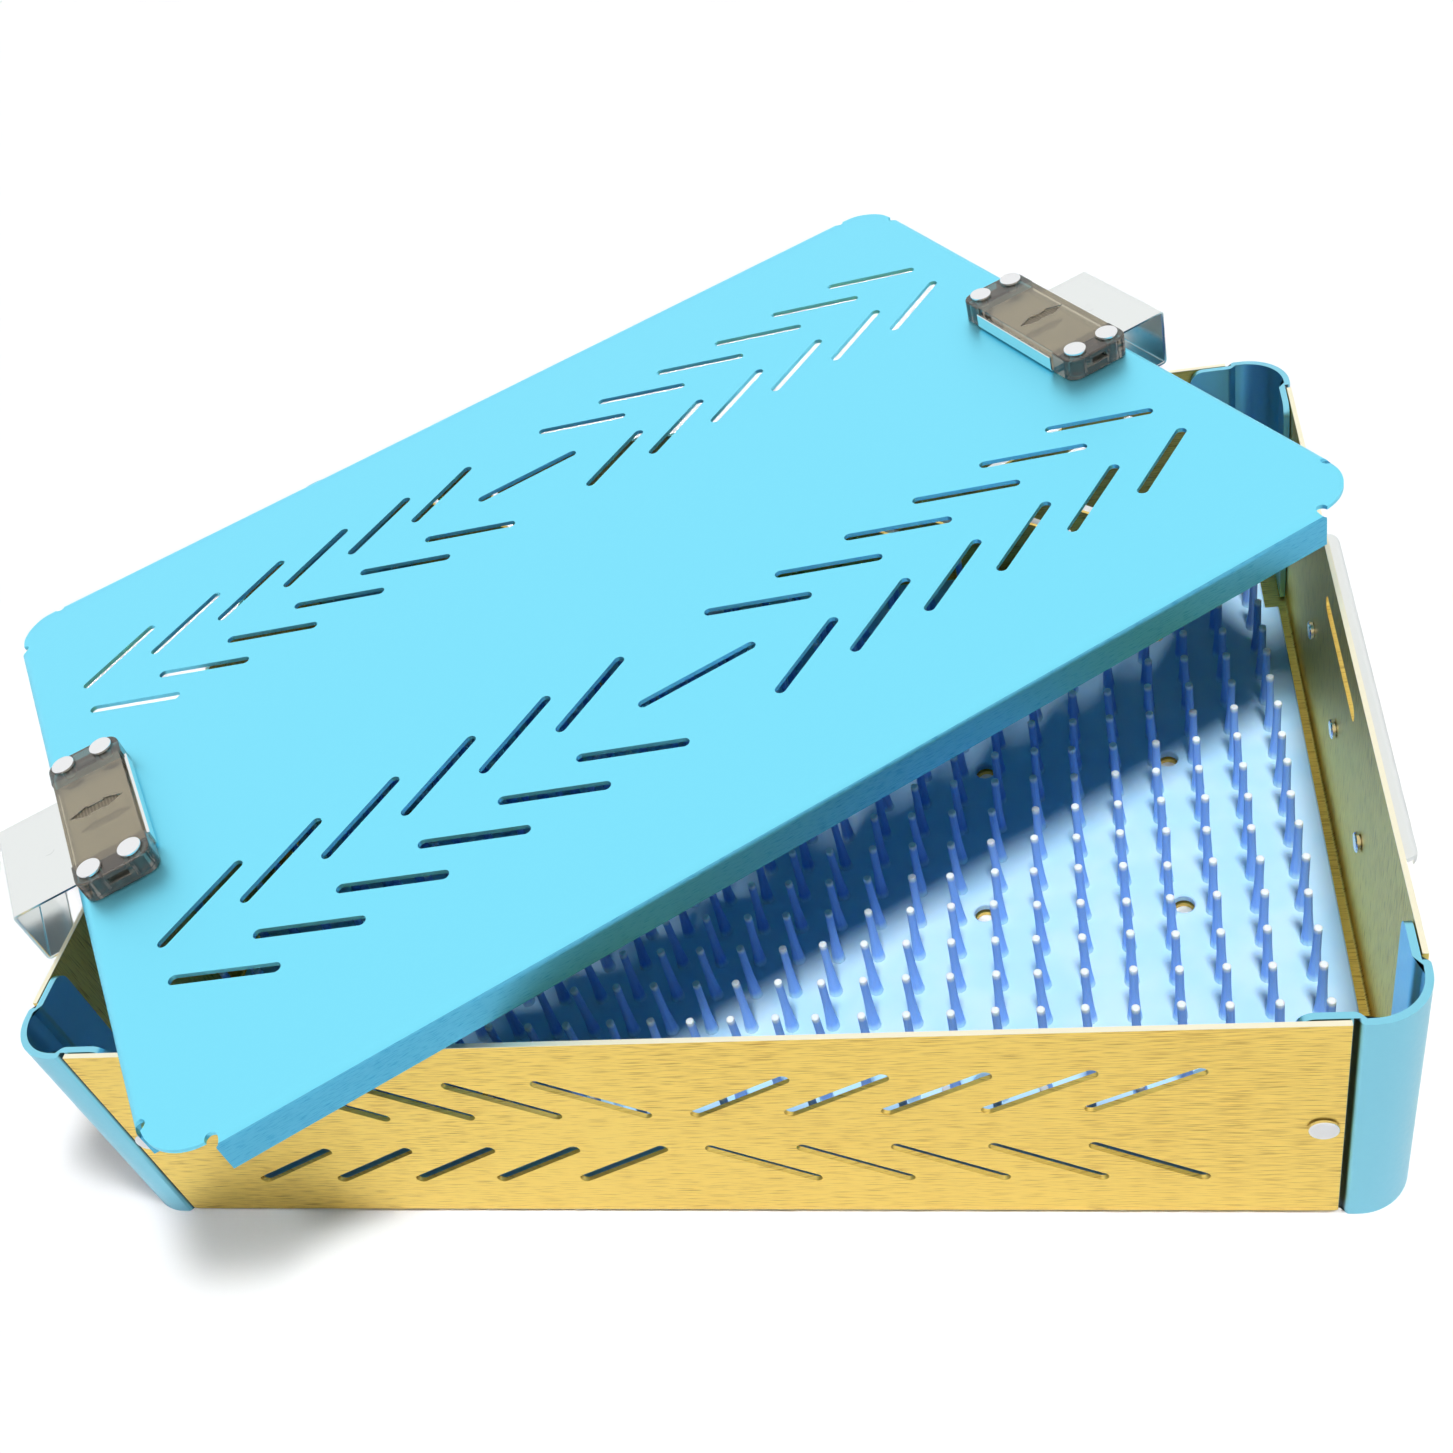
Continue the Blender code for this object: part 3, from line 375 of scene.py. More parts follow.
class Graph:
    """A node tree, whose nodes all come from one method."""

    def __init__(self, tree):
        self.tree = tree

    def node(self, kind, settings=None, inputs=None, output=0):
        made = self.tree.nodes.new(kind)
        for name, value in (settings or {}).items():
            setattr(made, name, value)
        for key, value in (inputs or {}).items():
            self.feed(made.inputs[key], value)
        return Value(self, made.outputs[output])

    def feed(self, socket, value):
        if isinstance(value, Value):
            self.tree.links.new(value.socket, socket)
        elif isinstance(value, list):
            for one in value:
                self.tree.links.new(one.socket, socket)
        elif socket.type == "RGBA":
            socket.default_value = (*value, 1.0)
        else:
            socket.default_value = value

    def vector(self, x=0.0, y=0.0, z=0.0):
        return self.node("ShaderNodeCombineXYZ", inputs={"X": x, "Y": y, "Z": z})

    def parts(self, vector):
        return [
            self.node("ShaderNodeSeparateXYZ", inputs={"Vector": vector}, output=axis)
            for axis in "XYZ"
        ]

    def here(self):
        return self.node("ShaderNodeTexCoord", output="Object")

    def blend(self, factor, first, second):
        return self.node(
            "ShaderNodeMix", {"data_type": "RGBA"}, {0: factor, 6: first, 7: second}, 2
        )

    def noise(self, vector, scale=1.0):
        return self.node("ShaderNodeTexNoise", inputs={"Vector": vector, "Scale": scale})

    def between(self, value, low, high):
        return self.node(
            "ShaderNodeMapRange",
            {"interpolation_type": "SMOOTHSTEP"},
            {"Value": value, "From Min": low, "From Max": high},
        )


# Geometry Nodes trees
class PatternTree(Graph):
    """A modifier's tree, with a named input for each value that it is given."""

    KINDS = {bool: "Bool", int: "Int", float: "Float"}

    def __init__(self, name, values):
        super().__init__(bpy.data.node_groups.new(name, "GeometryNodeTree"))
        self.tree.is_modifier = True
        face = self.tree.interface
        face.new_socket("Geometry", in_out="INPUT", socket_type="NodeSocketGeometry")
        for label, value in values.items():
            kind = self.KINDS.get(type(value)) or value.bl_rna.identifier
            face.new_socket(label, in_out="INPUT", socket_type="NodeSocket" + kind)
        face.new_socket("Geometry", in_out="OUTPUT", socket_type="NodeSocketGeometry")
        self.start = self.tree.nodes.new("NodeGroupInput")

    def given(self, label):
        return Value(self, self.start.outputs[label])

    def end(self, geometry):
        real = self.node("GeometryNodeRealizeInstances", inputs={"Geometry": geometry})
        dressed = self.node(
            "GeometryNodeSetMaterial", inputs={"Geometry": real, "Material": self.given("finish")}
        )
        last = self.tree.nodes.new("NodeGroupOutput")
        self.tree.links.new(dressed.socket, last.inputs["Geometry"])
        return self.tree

    def cut(self, cutters):
        real = self.node("GeometryNodeRealizeInstances", inputs={"Geometry": cutters})
        return self.node(
            "GeometryNodeMeshBoolean",
            {"operation": "DIFFERENCE", "solver": "EXACT"},
            {0: self.given("Geometry"), 1: real},
        )

    def joined(self, *parts):
        return self.node("GeometryNodeJoinGeometry", inputs={"Geometry": list(parts)})

    def points(self, number, position):
        return self.node("GeometryNodePoints", inputs={"Count": number, "Position": position})

    def rod(self, sides, radius, depth, segments=1):
        shape = {"Vertices": sides, "Side Segments": segments, "Radius": radius, "Depth": depth}
        return self.node("GeometryNodeMeshCylinder", inputs=shape)

    def moved(self, geometry, shift):
        return self.node("GeometryNodeSetPosition", inputs={"Geometry": geometry, "Offset": shift})

    def rotation(self, angles):
        return self.node("FunctionNodeEulerToRotation", inputs={0: angles})

    def stand(self, model, points, **more):
        """Stands the model on each point."""
        inputs = {"Points": points, "Instance": model, **more}
        return self.node("GeometryNodeInstanceOnPoints", inputs=inputs)


def use_tree(thing, name, build, **values):
    """Gives the object a modifier with that tree, and sets its inputs by their identifiers."""
    graph = PatternTree(name, values)
    tree = graph.end(build(graph))
    modifier = thing.modifiers.new(name, "NODES")
    modifier.node_group = tree
    for item in tree.interface.items_tree:
        if item.in_out == "INPUT" and item.name in values:
            modifier[item.identifier] = values[item.name]


def vent_slots(graph):
    """Punches chevrons of slanted slots into two sheets that face each other or lie side by side."""
    given = graph.given
    quarter = given("per_group")
    index = graph.node("GeometryNodeInputIndex")
    group = (index // quarter % 2) * 2 - 1
    row = (index // (quarter * 2)) * 2 - 1
    along = group * (given("first") + index % quarter * given("pitch"))
    places = graph.points(quarter * 4, graph.vector(along, row * given("spread")))
    turn = graph.rotation(graph.vector(z=group * row * given("slant")))
    slanted = graph.stand(slot_cutter(graph, given("length")), places, Rotation=turn)
    middle = graph.node(
        "GeometryNodeSwitch",
        {"input_type": "GEOMETRY"},
        {"Switch": given("has_middle"), "True": slot_cutter(graph, given("middle_length"))},
    )
    pattern = graph.joined(slanted, middle)
    sheets = []
    for side in (-1, 1):
        place = graph.vector(0.0, side * given("sheet_distance"), given("centre_height"))
        tilt = graph.vector(x=given("sheet_turn"))
        moves = {"Geometry": pattern, "Translation": place, "Rotation": tilt}
        sheets.append(graph.node("GeometryNodeTransform", inputs=moves))
    return graph.cut(graph.joined(*sheets))


def slot_cutter(graph, length):
    """A rod pulled apart into a bar with round ends."""
    radius = graph.given("width") / 2
    rod = graph.rod(SLOT_SIDES, radius, graph.given("cut_depth"))
    x = graph.parts(graph.node("GeometryNodeInputPosition"))[0]
    return graph.moved(rod, graph.vector(x.math("SIGN", x) * (length / 2 - radius)))


def drain_points(graph):
    given = graph.given
    index = graph.node("GeometryNodeInputIndex")
    side = index % 2 * 2 - 1
    column = index // 2 % 2
    line = index // 4
    x = side * (given("inner") + column * given("pitch_x"))
    y = given("shift_y") + (line - (given("rows") - 1) / 2) * given("pitch_y")
    return graph.points(given("rows") * 4, graph.vector(x, y))


def drain_holes(graph):
    """Punches the grid of drain holes into a floor."""
    rod = graph.rod(DRAIN_SIDES, graph.given("radius"), graph.given("cut_depth"))
    return graph.cut(graph.stand(rod, drain_points(graph)))


def silicone_fingers(graph):
    """Stands rows of tapered fingers on the mat, with none over a drain hole."""
    given = graph.given
    grid = graph.node(
        "GeometryNodeMeshGrid",
        inputs={
            "Size X": (given("columns") - 1) * given("step_x"),
            "Size Y": (given("lines") - 1) * given("step_y"),
            "Vertices X": given("columns"),
            "Vertices Y": given("lines"),
        },
    )
    shift = graph.vector(given("shift_x"), given("shift_line"), given("base"))
    nearest = graph.node(
        "GeometryNodeProximity", {"target_element": "POINTS"}, {0: drain_points(graph)}, "Distance"
    )
    lean = given("lean")
    most = graph.vector(lean, lean, math.pi)
    least = graph.vector(-lean, -lean, -math.pi)
    turns = graph.node(
        "FunctionNodeRandomValue",
        {"data_type": "FLOAT_VECTOR"},
        {0: least, 1: most, "Seed": LEAN_SEED},
    )
    fingers = graph.stand(
        finger(graph),
        graph.moved(grid, shift),
        Selection=nearest > given("radius") + given("foot"),
        Rotation=graph.rotation(turns),
    )
    return graph.joined(given("Geometry"), fingers)


def finger(graph):
    """A rod that flares towards its foot, with a flat tip whose edge is broken."""
    given = graph.given
    ring_power = 1.5
    flare_power = 3
    x, y, z = graph.parts(graph.node("GeometryNodeInputPosition"))
    ring = (z + 0.5) * FINGER_RINGS
    at_tip = ring > FINGER_RINGS - 0.5
    level = ring.math("MINIMUM", ring / (FINGER_RINGS - 1), 1.0) ** ring_power
    flare = (given("foot") - given("tip")) * (1 - level) ** flare_power
    radius = given("tip") + flare - at_tip * given("tip_edge")
    height = level * (given("height") - given("tip_edge")) + at_tip * given("tip_edge")
    shaped = graph.node(
        "GeometryNodeSetPosition",
        inputs={
            "Geometry": graph.rod(FINGER_SIDES, 1.0, 1.0, FINGER_RINGS),
            "Position": graph.vector(x * radius, y * radius, height),
        },
    )
    return graph.node("GeometryNodeSetShadeSmooth", inputs={"Geometry": shaped})


def rivets_on_points(graph):
    """Sets a rivet on each point, along the point's facing."""
    facing = graph.node(
        "GeometryNodeInputNamedAttribute", {"data_type": "FLOAT_VECTOR"}, {"Name": "facing"}
    )
    turn = graph.node("FunctionNodeAlignRotationToVector", {"axis": "Z"}, {"Vector": facing})
    model = graph.node(
        "GeometryNodeObjectInfo", inputs={"Object": graph.given("rivet")}, output="Geometry"
    )
    return graph.stand(model, graph.given("Geometry"), Rotation=turn)


# Outlines
def arc(centre, radius, start, end, steps):
    return [
        (
            centre[0] + radius * math.cos(start + (end - start) * i / steps),
            centre[1] + radius * math.sin(start + (end - start) * i / steps),
        )
        for i in range(steps + 1)
    ]


def circle(centre, radius, sides):
    return arc(centre, radius, 0, 2 * math.pi * (sides - 1) / sides, sides - 1)


def stadium(centre, length, width, steps):
    radius = width / 2
    reach = length / 2 - radius
    quarter = math.pi / 2
    far_end = arc((centre[0] + reach, centre[1]), radius, -quarter, quarter, steps)
    near_end = arc((centre[0] - reach, centre[1]), radius, quarter, 3 * quarter, steps)
    return far_end + near_end


def rounded_rectangle(centre, half_x, half_y, radius, steps):
    points = []
    for turn, (sx, sy) in enumerate([(1, 1), (-1, 1), (-1, -1), (1, -1)]):
        middle = (centre[0] + sx * (half_x - radius), centre[1] + sy * (half_y - radius))
        start = turn * math.pi / 2
        points += arc(middle, radius, start, start + math.pi / 2, steps)
    return points


def filleted(path, radius, steps):
    """The open path with each of its inner corners rounded."""
    points = [tuple(path[0])]
    for before, corner, after in zip(path, path[1:], path[2:]):
        corner = Vector(corner)
        back = (Vector(before) - corner).normalized()
        on = (Vector(after) - corner).normalized()
        half = back.angle(on) / 2
        centre = corner + (back + on).normalized() * radius / math.sin(half)
        first = corner + back * radius / math.tan(half) - centre
        last = corner + on * radius / math.tan(half) - centre
        sweep = math.atan2(first.x * last.y - first.y * last.x, first.dot(last))
        start = math.atan2(first.y, first.x)
        points += arc(centre, radius, start, start + sweep, steps)
    return points + [tuple(path[-1])]


def offset_path(path, distance):
    """The open path moved to its left, with mitred corners."""
    points = [Vector(point) for point in path]
    moved = []
    for i, point in enumerate(points):
        before = (point - points[i - 1]).normalized() if i > 0 else None
        after = (points[i + 1] - point).normalized() if i < len(points) - 1 else None
        before = before or after
        after = after or before
        normal_a = Vector((-before.y, before.x))
        normal_b = Vector((-after.y, after.x))
        mitre = (normal_a + normal_b).normalized()
        moved.append(tuple(point + mitre * distance / mitre.dot(normal_a)))
    return moved


def strip(path, thickness):
    return list(path) + offset_path(path, thickness)[::-1]


def corner_waste(corner, inward, radius, overrun, steps):
    """The outline of what a rounding takes off a square corner."""
    centre = [corner[i] + inward[i] * radius for i in (0, 1)]
    outside = [corner[i] - inward[i] * overrun for i in (0, 1)]
    points = [(centre[0], outside[1]), tuple(outside), (outside[0], centre[1])]
    for x, y in arc((0, 0), radius, 0, math.pi / 2, steps):
        points.append((centre[0] - inward[0] * x, centre[1] - inward[1] * y))
    return points


def halves(piece):
    return piece.length / 2, piece.depth / 2


def mirrored(outline, sx, sy):
    return [(sx * x, sy * y) for x, y in outline]


def corner_area(piece, face, inset, radius, sheet, steps):
    """What lies round a piece's back right corner, outside a rounding that is set in."""
    half_x, half_y = halves(piece)
    start_x, start_y = half_x - face, half_y - face
    out_x, out_y = half_x + sheet.overrun, half_y + sheet.overrun
    centre = (half_x - inset - radius, half_y - inset - radius)
    points = [(start_x, out_y), (start_x, half_y - inset)]
    points += arc(centre, radius, math.pi / 2, 0, steps)
    return points + [(half_x - inset, start_y), (out_x, start_y), (out_x, out_y)]


# Solids
def prism(outline, low, high, plane="XY"):
    place = {
        "XY": lambda a, b, t: (a, b, t),
        "XZ": lambda a, b, t: (a, t, b),
        "YZ": lambda a, b, t: (t, a, b),
    }[plane]
    mesh = bmesh.new()
    bottom = [mesh.verts.new(place(a, b, low)) for a, b in outline]
    top = [mesh.verts.new(place(a, b, high)) for a, b in outline]
    mesh.faces.new(bottom)
    mesh.faces.new(top)
    for i in range(len(outline)):
        j = (i + 1) % len(outline)
        mesh.faces.new((bottom[i], bottom[j], top[j], top[i]))
    bmesh.ops.recalc_face_normals(mesh, faces=mesh.faces)
    return mesh


def block(low, high):
    outline = [(low[0], low[1]), (high[0], low[1]), (high[0], high[1]), (low[0], high[1])]
    return prism(outline, low[2], high[2])


def turned(profile, sides):
    """A solid of revolution from (radius, height) points, from one pole to the other."""
    mesh = bmesh.new()
    rings = []
    for radius, height in profile:
        if radius == 0:
            rings.append([mesh.verts.new((0, 0, height))])
        else:
            rings.append([mesh.verts.new((x, y, height)) for x, y in circle((0, 0), radius, sides)])
    for ring, following in zip(rings, rings[1:]):
        for i in range(sides):
            j = (i + 1) % sides
            corners = [ring[i % len(ring)], ring[j % len(ring)]]
            corners += [following[j % len(following)], following[i % len(following)]]
            mesh.faces.new(dict.fromkeys(corners))
    bmesh.ops.recalc_face_normals(mesh, faces=mesh.faces)
    return mesh


def joined(*meshes):
    whole = bmesh.new()
    for part in meshes:
        piece = bpy.data.meshes.new("piece")
        part.to_mesh(piece)
        part.free()
        whole.from_mesh(piece)
        bpy.data.meshes.remove(piece)
    return whole


def soften(mesh, width, steps, chosen):
    edges = [edge for edge in mesh.edges if chosen(*(vert.co for vert in edge.verts))]
    bmesh.ops.bevel(mesh, geom=edges, offset=width, segments=steps, profile=0.5, affect="EDGES")
    return mesh


# From working objects to finished pieces
def work_object(name, mesh):
    data = bpy.data.meshes.new(name)
    mesh.to_mesh(data)
    mesh.free()
    made = bpy.data.objects.new(name, data)
    bpy.context.scene.collection.objects.link(made)
    return made


def carve(thing, cutter_mesh):
    cutter = work_object(thing.name + "_cutter", cutter_mesh)
    cutter.hide_render = True
    modifier = thing.modifiers.new("cut", "BOOLEAN")
    modifier.object = cutter


def break_edges(thing, width):
    modifier = thing.modifiers.new("broken edges", "BEVEL")
    modifier.width = width
    modifier.segments = 1
    modifier.limit_method = "ANGLE"
    modifier.angle_limit = SHARP_ANGLE


def baked(thing):
    """The evaluated mesh, after which the working object and its cutters are removed."""
    graph = bpy.context.evaluated_depsgraph_get()
    mesh = bpy.data.meshes.new_from_object(thing.evaluated_get(graph))
    for modifier in thing.modifiers:
        if modifier.type == "BOOLEAN":
            bpy.data.objects.remove(modifier.object, do_unlink=True)
    bpy.data.objects.remove(thing, do_unlink=True)
    return mesh


def finish_piece(name, mesh, finish, body, nodes, place=Matrix()):
    """The finished piece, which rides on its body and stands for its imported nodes."""
    mesh.transform(place)
    mesh.materials.clear()
    mesh.materials.append(finish)
    mesh.shade_smooth()
    mesh.set_sharp_from_angle(angle=SHARP_ANGLE)
    working = bpy.data.objects.new(name + "_work", mesh)
    bpy.context.scene.collection.objects.link(working)
    weigh = working.modifiers.new("flat faces stay flat", "WEIGHTED_NORMAL")
    weigh.keep_sharp = True
    thing = bpy.data.objects.new(name, baked(working))
    bpy.context.scene.collection.objects.link(thing)
    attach(thing, body)
    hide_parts(*nodes)
    return thing


def folded_pan(name, box, piece, rise):
    """Four walls folded up or down from a sheet whose outer face is at level 0."""
    sheet = box.sheet
    wall = sheet.thickness
    half_x, half_y = halves(piece)
    upward = math.copysign(1, rise)
    low, high = sorted((0, rise))
    whole = block((-half_x, -half_y, low), (half_x, half_y, high))
    soften(whole, piece.bend, sheet.steps, lambda a, b: a.z == 0 and b.z == 0)
    work = work_object(name + "_work", whole)
    low, high = sorted((upward * wall, rise + upward * sheet.overrun))
    inside = block((wall - half_x, wall - half_y, low), (half_x - wall, half_y - wall, high))
    fold = wall + sheet.gap
    soften(
        inside, piece.bend - wall, sheet.steps, lambda a, b: abs(a.z) < fold and abs(b.z) < fold
    )
    carve(work, inside)
    return work


def punch_vents(box, work, finish, **places):
    vents = box.vents
    use_tree(
        work,
        "Vent slots",
        vent_slots,
        pitch=vents.pitch,
        length=vents.length,
        width=vents.width,
        middle_length=vents.lid_middle,
        cut_depth=2 * box.sheet.overrun,
        finish=finish,
        **places,
    )


def drain_values(box, radius):
    names = ("inner", "pitch_x", "pitch_y", "shift_y", "rows")
    return {"radius": radius, **{name: getattr(box.drains, name) for name in names}}


def punch_drains(box, work, radius, finish):
    depth = 4 * box.sheet.overrun
    values = drain_values(box, radius)
    use_tree(work, "Drain holes", drain_holes, **values, cut_depth=depth, finish=finish)


# Finishes
def new_finish(name):
    made = bpy.data.materials.new(name)
    made.use_nodes = True
    return Graph(made.node_tree)


def set_surface(graph, **values):
    shader = graph.tree.nodes["Principled BSDF"]
    for label, value in values.items():
        socket = label.replace("_", " ").title().replace("Ior", "IOR")
        graph.feed(shader.inputs[socket], value)


def placed(graph, place):
    """Where a point lies in the axes of that place."""
    return graph.node(
        "ShaderNodeMapping",
        {"vector_type": "TEXTURE"},
        {"Vector": graph.here(), "Location": place.translation, "Rotation": place.to_euler()},
    )


def brushed_finish(name, tones, stroke_size, half_length, rim, place=Matrix()):
    """Anodised sheet with fine strokes along its length, in one plain tone above the rim level."""
    hairs_along, hairs_across = 400, 7000
    clouds_along, clouds_across = 14, 18
    cloud_share = 0.2
    stroke_start, stroke_full = 0.48, 0.70
    smoothest, roughening = 0.38, 0.14
    graph = new_finish(name)
    tone, stroke_tone, rim_tone = tones
    x, y, z = graph.parts(placed(graph, place))
    at_end = abs(x) > half_length
    along = x + z * at_end
    across = y + z * (1 - at_end)
    strokes = graph.noise(graph.vector(along / stroke_size[0], across / stroke_size[1]))
    hairs = graph.noise(graph.vector(along * hairs_along, across * hairs_across))
    clouds = graph.noise(graph.vector(along * clouds_along, across * clouds_across))
    pattern = strokes * (1 - cloud_share) + clouds * cloud_share
    # For the lid, tone and stroke_tone are the flanges' deeper blue, which is painted shade.
    brushed = graph.blend(graph.between(pattern, stroke_start, stroke_full), tone, stroke_tone)
    relief = graph.node(
        "ShaderNodeBump", inputs={"Strength": 0.35, "Distance": 0.00003, "Height": hairs}
    )
    # For the gold, the tone above the rim level is a painted highlight along the top edge; for the
    # lid it is the top's own blue.
    set_surface(
        graph,
        base_color=graph.blend(z > rim, brushed, rim_tone),
        metallic=0.95,
        roughness=smoothest + hairs * roughening,
        normal=relief,
    )


def gold_finish(name, box):
    looks = box.finishes
    tones = (looks.gold, looks.gold_grain, looks.gold_rim)
    stroke_size = (looks.gold_stroke, looks.gold_stroke_width)
    # Painted highlight: above this level the gold's top edge takes the paler gold_rim.
    rim = box.tray.height - box.sheet.chamfer
    brushed_finish(name, tones, stroke_size, box.tray.length / 2 - box.tray.bend, rim)


def blue_finish(name, box):
    looks = box.finishes
    # Painted shade: below the rim level the flanges take the deeper blue of flange and flange_grain.
    tones = (looks.flange, looks.flange_grain, looks.blue)
    stroke_size = (looks.flange_stroke, looks.flange_stroke_width)
    half_length = box.lid.length / 2 - box.lid.bend
    brushed_finish(name, tones, stroke_size, half_length, -box.lid.bend / 2, LID_PLACE)


def set_satin(graph, base, roughness, metallic=1.0):
    """Gives the surface a gloss that changes a little from grain to grain."""
    grains_per_metre = 900
    gloss_change = 0.15
    dull = (graph.noise(graph.here(), grains_per_metre) - 0.5) * gloss_change
    set_surface(graph, base_color=base, metallic=metallic, roughness=roughness + dull)


# The colour and the roughness of each plain metal
SATIN = {"steel": ("steel", 0.34), "slide": ("steel", 0.16), "rivet": ("rivet", 0.16)}


def satin_finish(name, box):
    tone, roughness = SATIN[name]
    set_satin(new_finish(name), getattr(box.finishes, tone), roughness)


def post_finish(name, box):
    """Satin sheet with painted shade: dark where it steps in behind the end of a wall, in the gap
    where shade falls.
    """
    dark_share = 0.45
    fade = 1.4
    graph = new_finish(name)
    x, y, z = graph.parts(graph.here())
    half_x, half_y = halves(box.tray)
    sheet_depth = box.sheet.thickness + box.sheet.gap
    dark_run = box.sheet.gap + box.posts.step * dark_share
    joints = []
    # Painted shade: the post is darkened over the joggle where it steps in behind a wall's end.
    for along, half_along, across, half_across in ((x, half_x, y, half_y), (y, half_y, x, half_x)):
        run = abs(along) - (half_along - box.tray.post_face)
        outside = abs(across) > half_across - sheet_depth
        joints.append((run > 0) * outside * (1 - graph.between(run, dark_run, dark_run * fade)))
    base = graph.blend(joints[0] + joints[1], box.finishes.post, box.finishes.joint)
    set_satin(graph, base, 0.32, 0.95)


def silicone_finish(name, box):
    """Milky silicone, whose fingers are painted with light: a deeper blue and pale tips, for the
    light that passes through the silicone and leaves bright at the tips.
    """
    clouds_per_metre = 70
    haze_start, haze_full, haze_share = 0.35, 0.70, 0.35
    finger_start, finger_full = 0.02, 0.14
    tip_start, tip_full = 0.90, 0.98
    looks = box.finishes
    top = box.mat.low + box.mat.thickness
    height = box.mat.finger_height
    graph = new_finish(name)
    level = graph.parts(graph.here())[2]
    haze = graph.between(graph.noise(graph.here(), clouds_per_metre), haze_start, haze_full)
    pale = tuple(0.5 + tone / 2 for tone in looks.mat)
    sheet = graph.blend(haze * haze_share, looks.mat, pale)
    # Painted light: a deeper blue up the fingers and pale tips, for light that passes through the
    # silicone.
    finger_light_mask = graph.between(level, top + height * finger_start, top + height * finger_full)
    at_tip = graph.between(level, top + height * tip_start, top + height * tip_full)
    set_surface(
        graph,
        base_color=graph.blend(at_tip, graph.blend(finger_light_mask, sheet, looks.finger), looks.tip),
        roughness=0.45,
        specular_ior_level=0.12,
        subsurface_weight=0.25,
        subsurface_radius=(0.3, 0.6, 1.0),
        subsurface_scale=0.0012,
    )


def smoky_finish(name, box):
    """Clear smoky plastic, which looks darker in its solid ends and where it is engraved."""
    width_margin = 1.2
    reach = 0.52
    hatch_gap = 0.4
    shade, hatch_shade = 0.55, 0.45
    polish, engraved_dullness = 0.06, 0.3
    graph = new_finish(name)
    latch = box.latches
    looks = box.finishes
    x, y, z = graph.parts(placed(graph, LID_PLACE))
    from_middle = abs(abs(x) - latch_middle(box))
    from_axis = abs(y)
    floor = box.sheet.gap + latch.height - latch.arrow_depth
    in_depth = abs(z - floor) < latch.arrow_depth / 2
    engraved = in_depth * (from_axis < latch.arrow_half * width_margin)
    engraved = engraved * (from_middle < latch.arrow_length * reach)
    hatch = (from_middle % latch.hatch_pitch) > latch.hatch_pitch * hatch_gap
    end = latch.length / 2 - latch.cheek
    in_end = graph.between(from_axis, end, end + latch.edge)
    body = graph.blend(in_end, looks.smoke, looks.smoke_end)
    set_surface(
        graph,
        base_color=graph.blend(engraved * (shade + hatch * hatch_shade), body, looks.engraving),
        roughness=polish + engraved * engraved_dullness,
        transmission_weight=0.82,
        ior=1.49,
    )


FINISHES = {
    "gold": gold_finish,
    "blue": blue_finish,
    "post": post_finish,
    "steel": satin_finish,
    "slide": satin_finish,
    "rivet": satin_finish,
    "milky_silicone": silicone_finish,
    "smoke": smoky_finish,
}


def look(name):
    """The material of that finish, made when it is first asked for."""
    if name not in bpy.data.materials:
        FINISHES[name](name, bpy.context.scene.sterilization_box)
    return bpy.data.materials[name]


# Tray
def post_rivet_places(box):
    tray = box.tray
    half_x, half_y = halves(tray)
    inset = tray.post_face + box.rivets.post_inset
    level = tray.height / 2
    for sx, sy in CORNERS.values():
        yield (sx * (half_x - inset), sy * half_y, level), (0, sy, 0)
        yield (sx * half_x, sy * (half_y - inset), level), (sx, 0, 0)


def bracket_rivet_places(box):
    rivets = box.rivets
    face = box.tray.length / 2 + box.sheet.gap + box.brackets.thickness
    for side in ENDS.values():
        for row in (-1, 0, 1):
            place = (side * face, row * rivets.bracket_pitch, rivets.bracket_height)
            yield place, (side, 0, 0)


def hole(box, place, facing):
    """A cutter that leaves a rivet's shank its clearance."""
    depth = box.sheet.overrun
    radius = box.rivets.shank_radius + box.sheet.gap
    mesh = prism(circle((0, 0), radius, RIVET_HOLE_SIDES), -depth, depth)
    turn = Vector(facing).to_track_quat("Z", "Y").to_matrix().to_4x4()
    mesh.transform(Matrix.Translation(place) @ turn)
    return mesh


def shank_holes(box, places):
    return [hole(box, place, facing) for place, facing in places]


def post_column(box, sx, sy):
    """What is left open at a corner for its post, down to the floor's rounded corner."""
    tray = box.tray
    sheet = box.sheet
    inset = box.posts.thickness + 2 * sheet.gap
    radius = box.posts.radius - inset
    outline = corner_area(tray, tray.post_face, inset, radius, sheet, sheet.steps)
    return prism(mirrored(outline, sx, sy), -sheet.overrun, tray.height + sheet.overrun)


def walls(tray):
    """Half the length of each pair of walls, their distance from the middle and their plane."""
    half_x, half_y = halves(tray)
    return (half_x, half_y, "XZ"), (half_y, half_x, "YZ")


def wall_foot_cuts(box):
    """The small cuts at the foot of each wall end."""
    tray = box.tray
    gap = box.sheet.gap
    cut = tray.corner_cut
    reach = box.sheet.thickness + gap
    cuts = []
    for half_wall, distance, plane in walls(tray):
        corner = half_wall - tray.post_face
        outline = [
            (corner - cut, -gap),
            (corner + gap, -gap),
            (corner + gap, cut),
            (corner, cut),
            (corner - cut, 0),
        ]
        for end in (-1, 1):
            for side in (-1, 1):
                wall = side * distance
                cuts.append(prism(mirrored(outline, end, 1), wall - reach, wall + reach, plane))
    return cuts


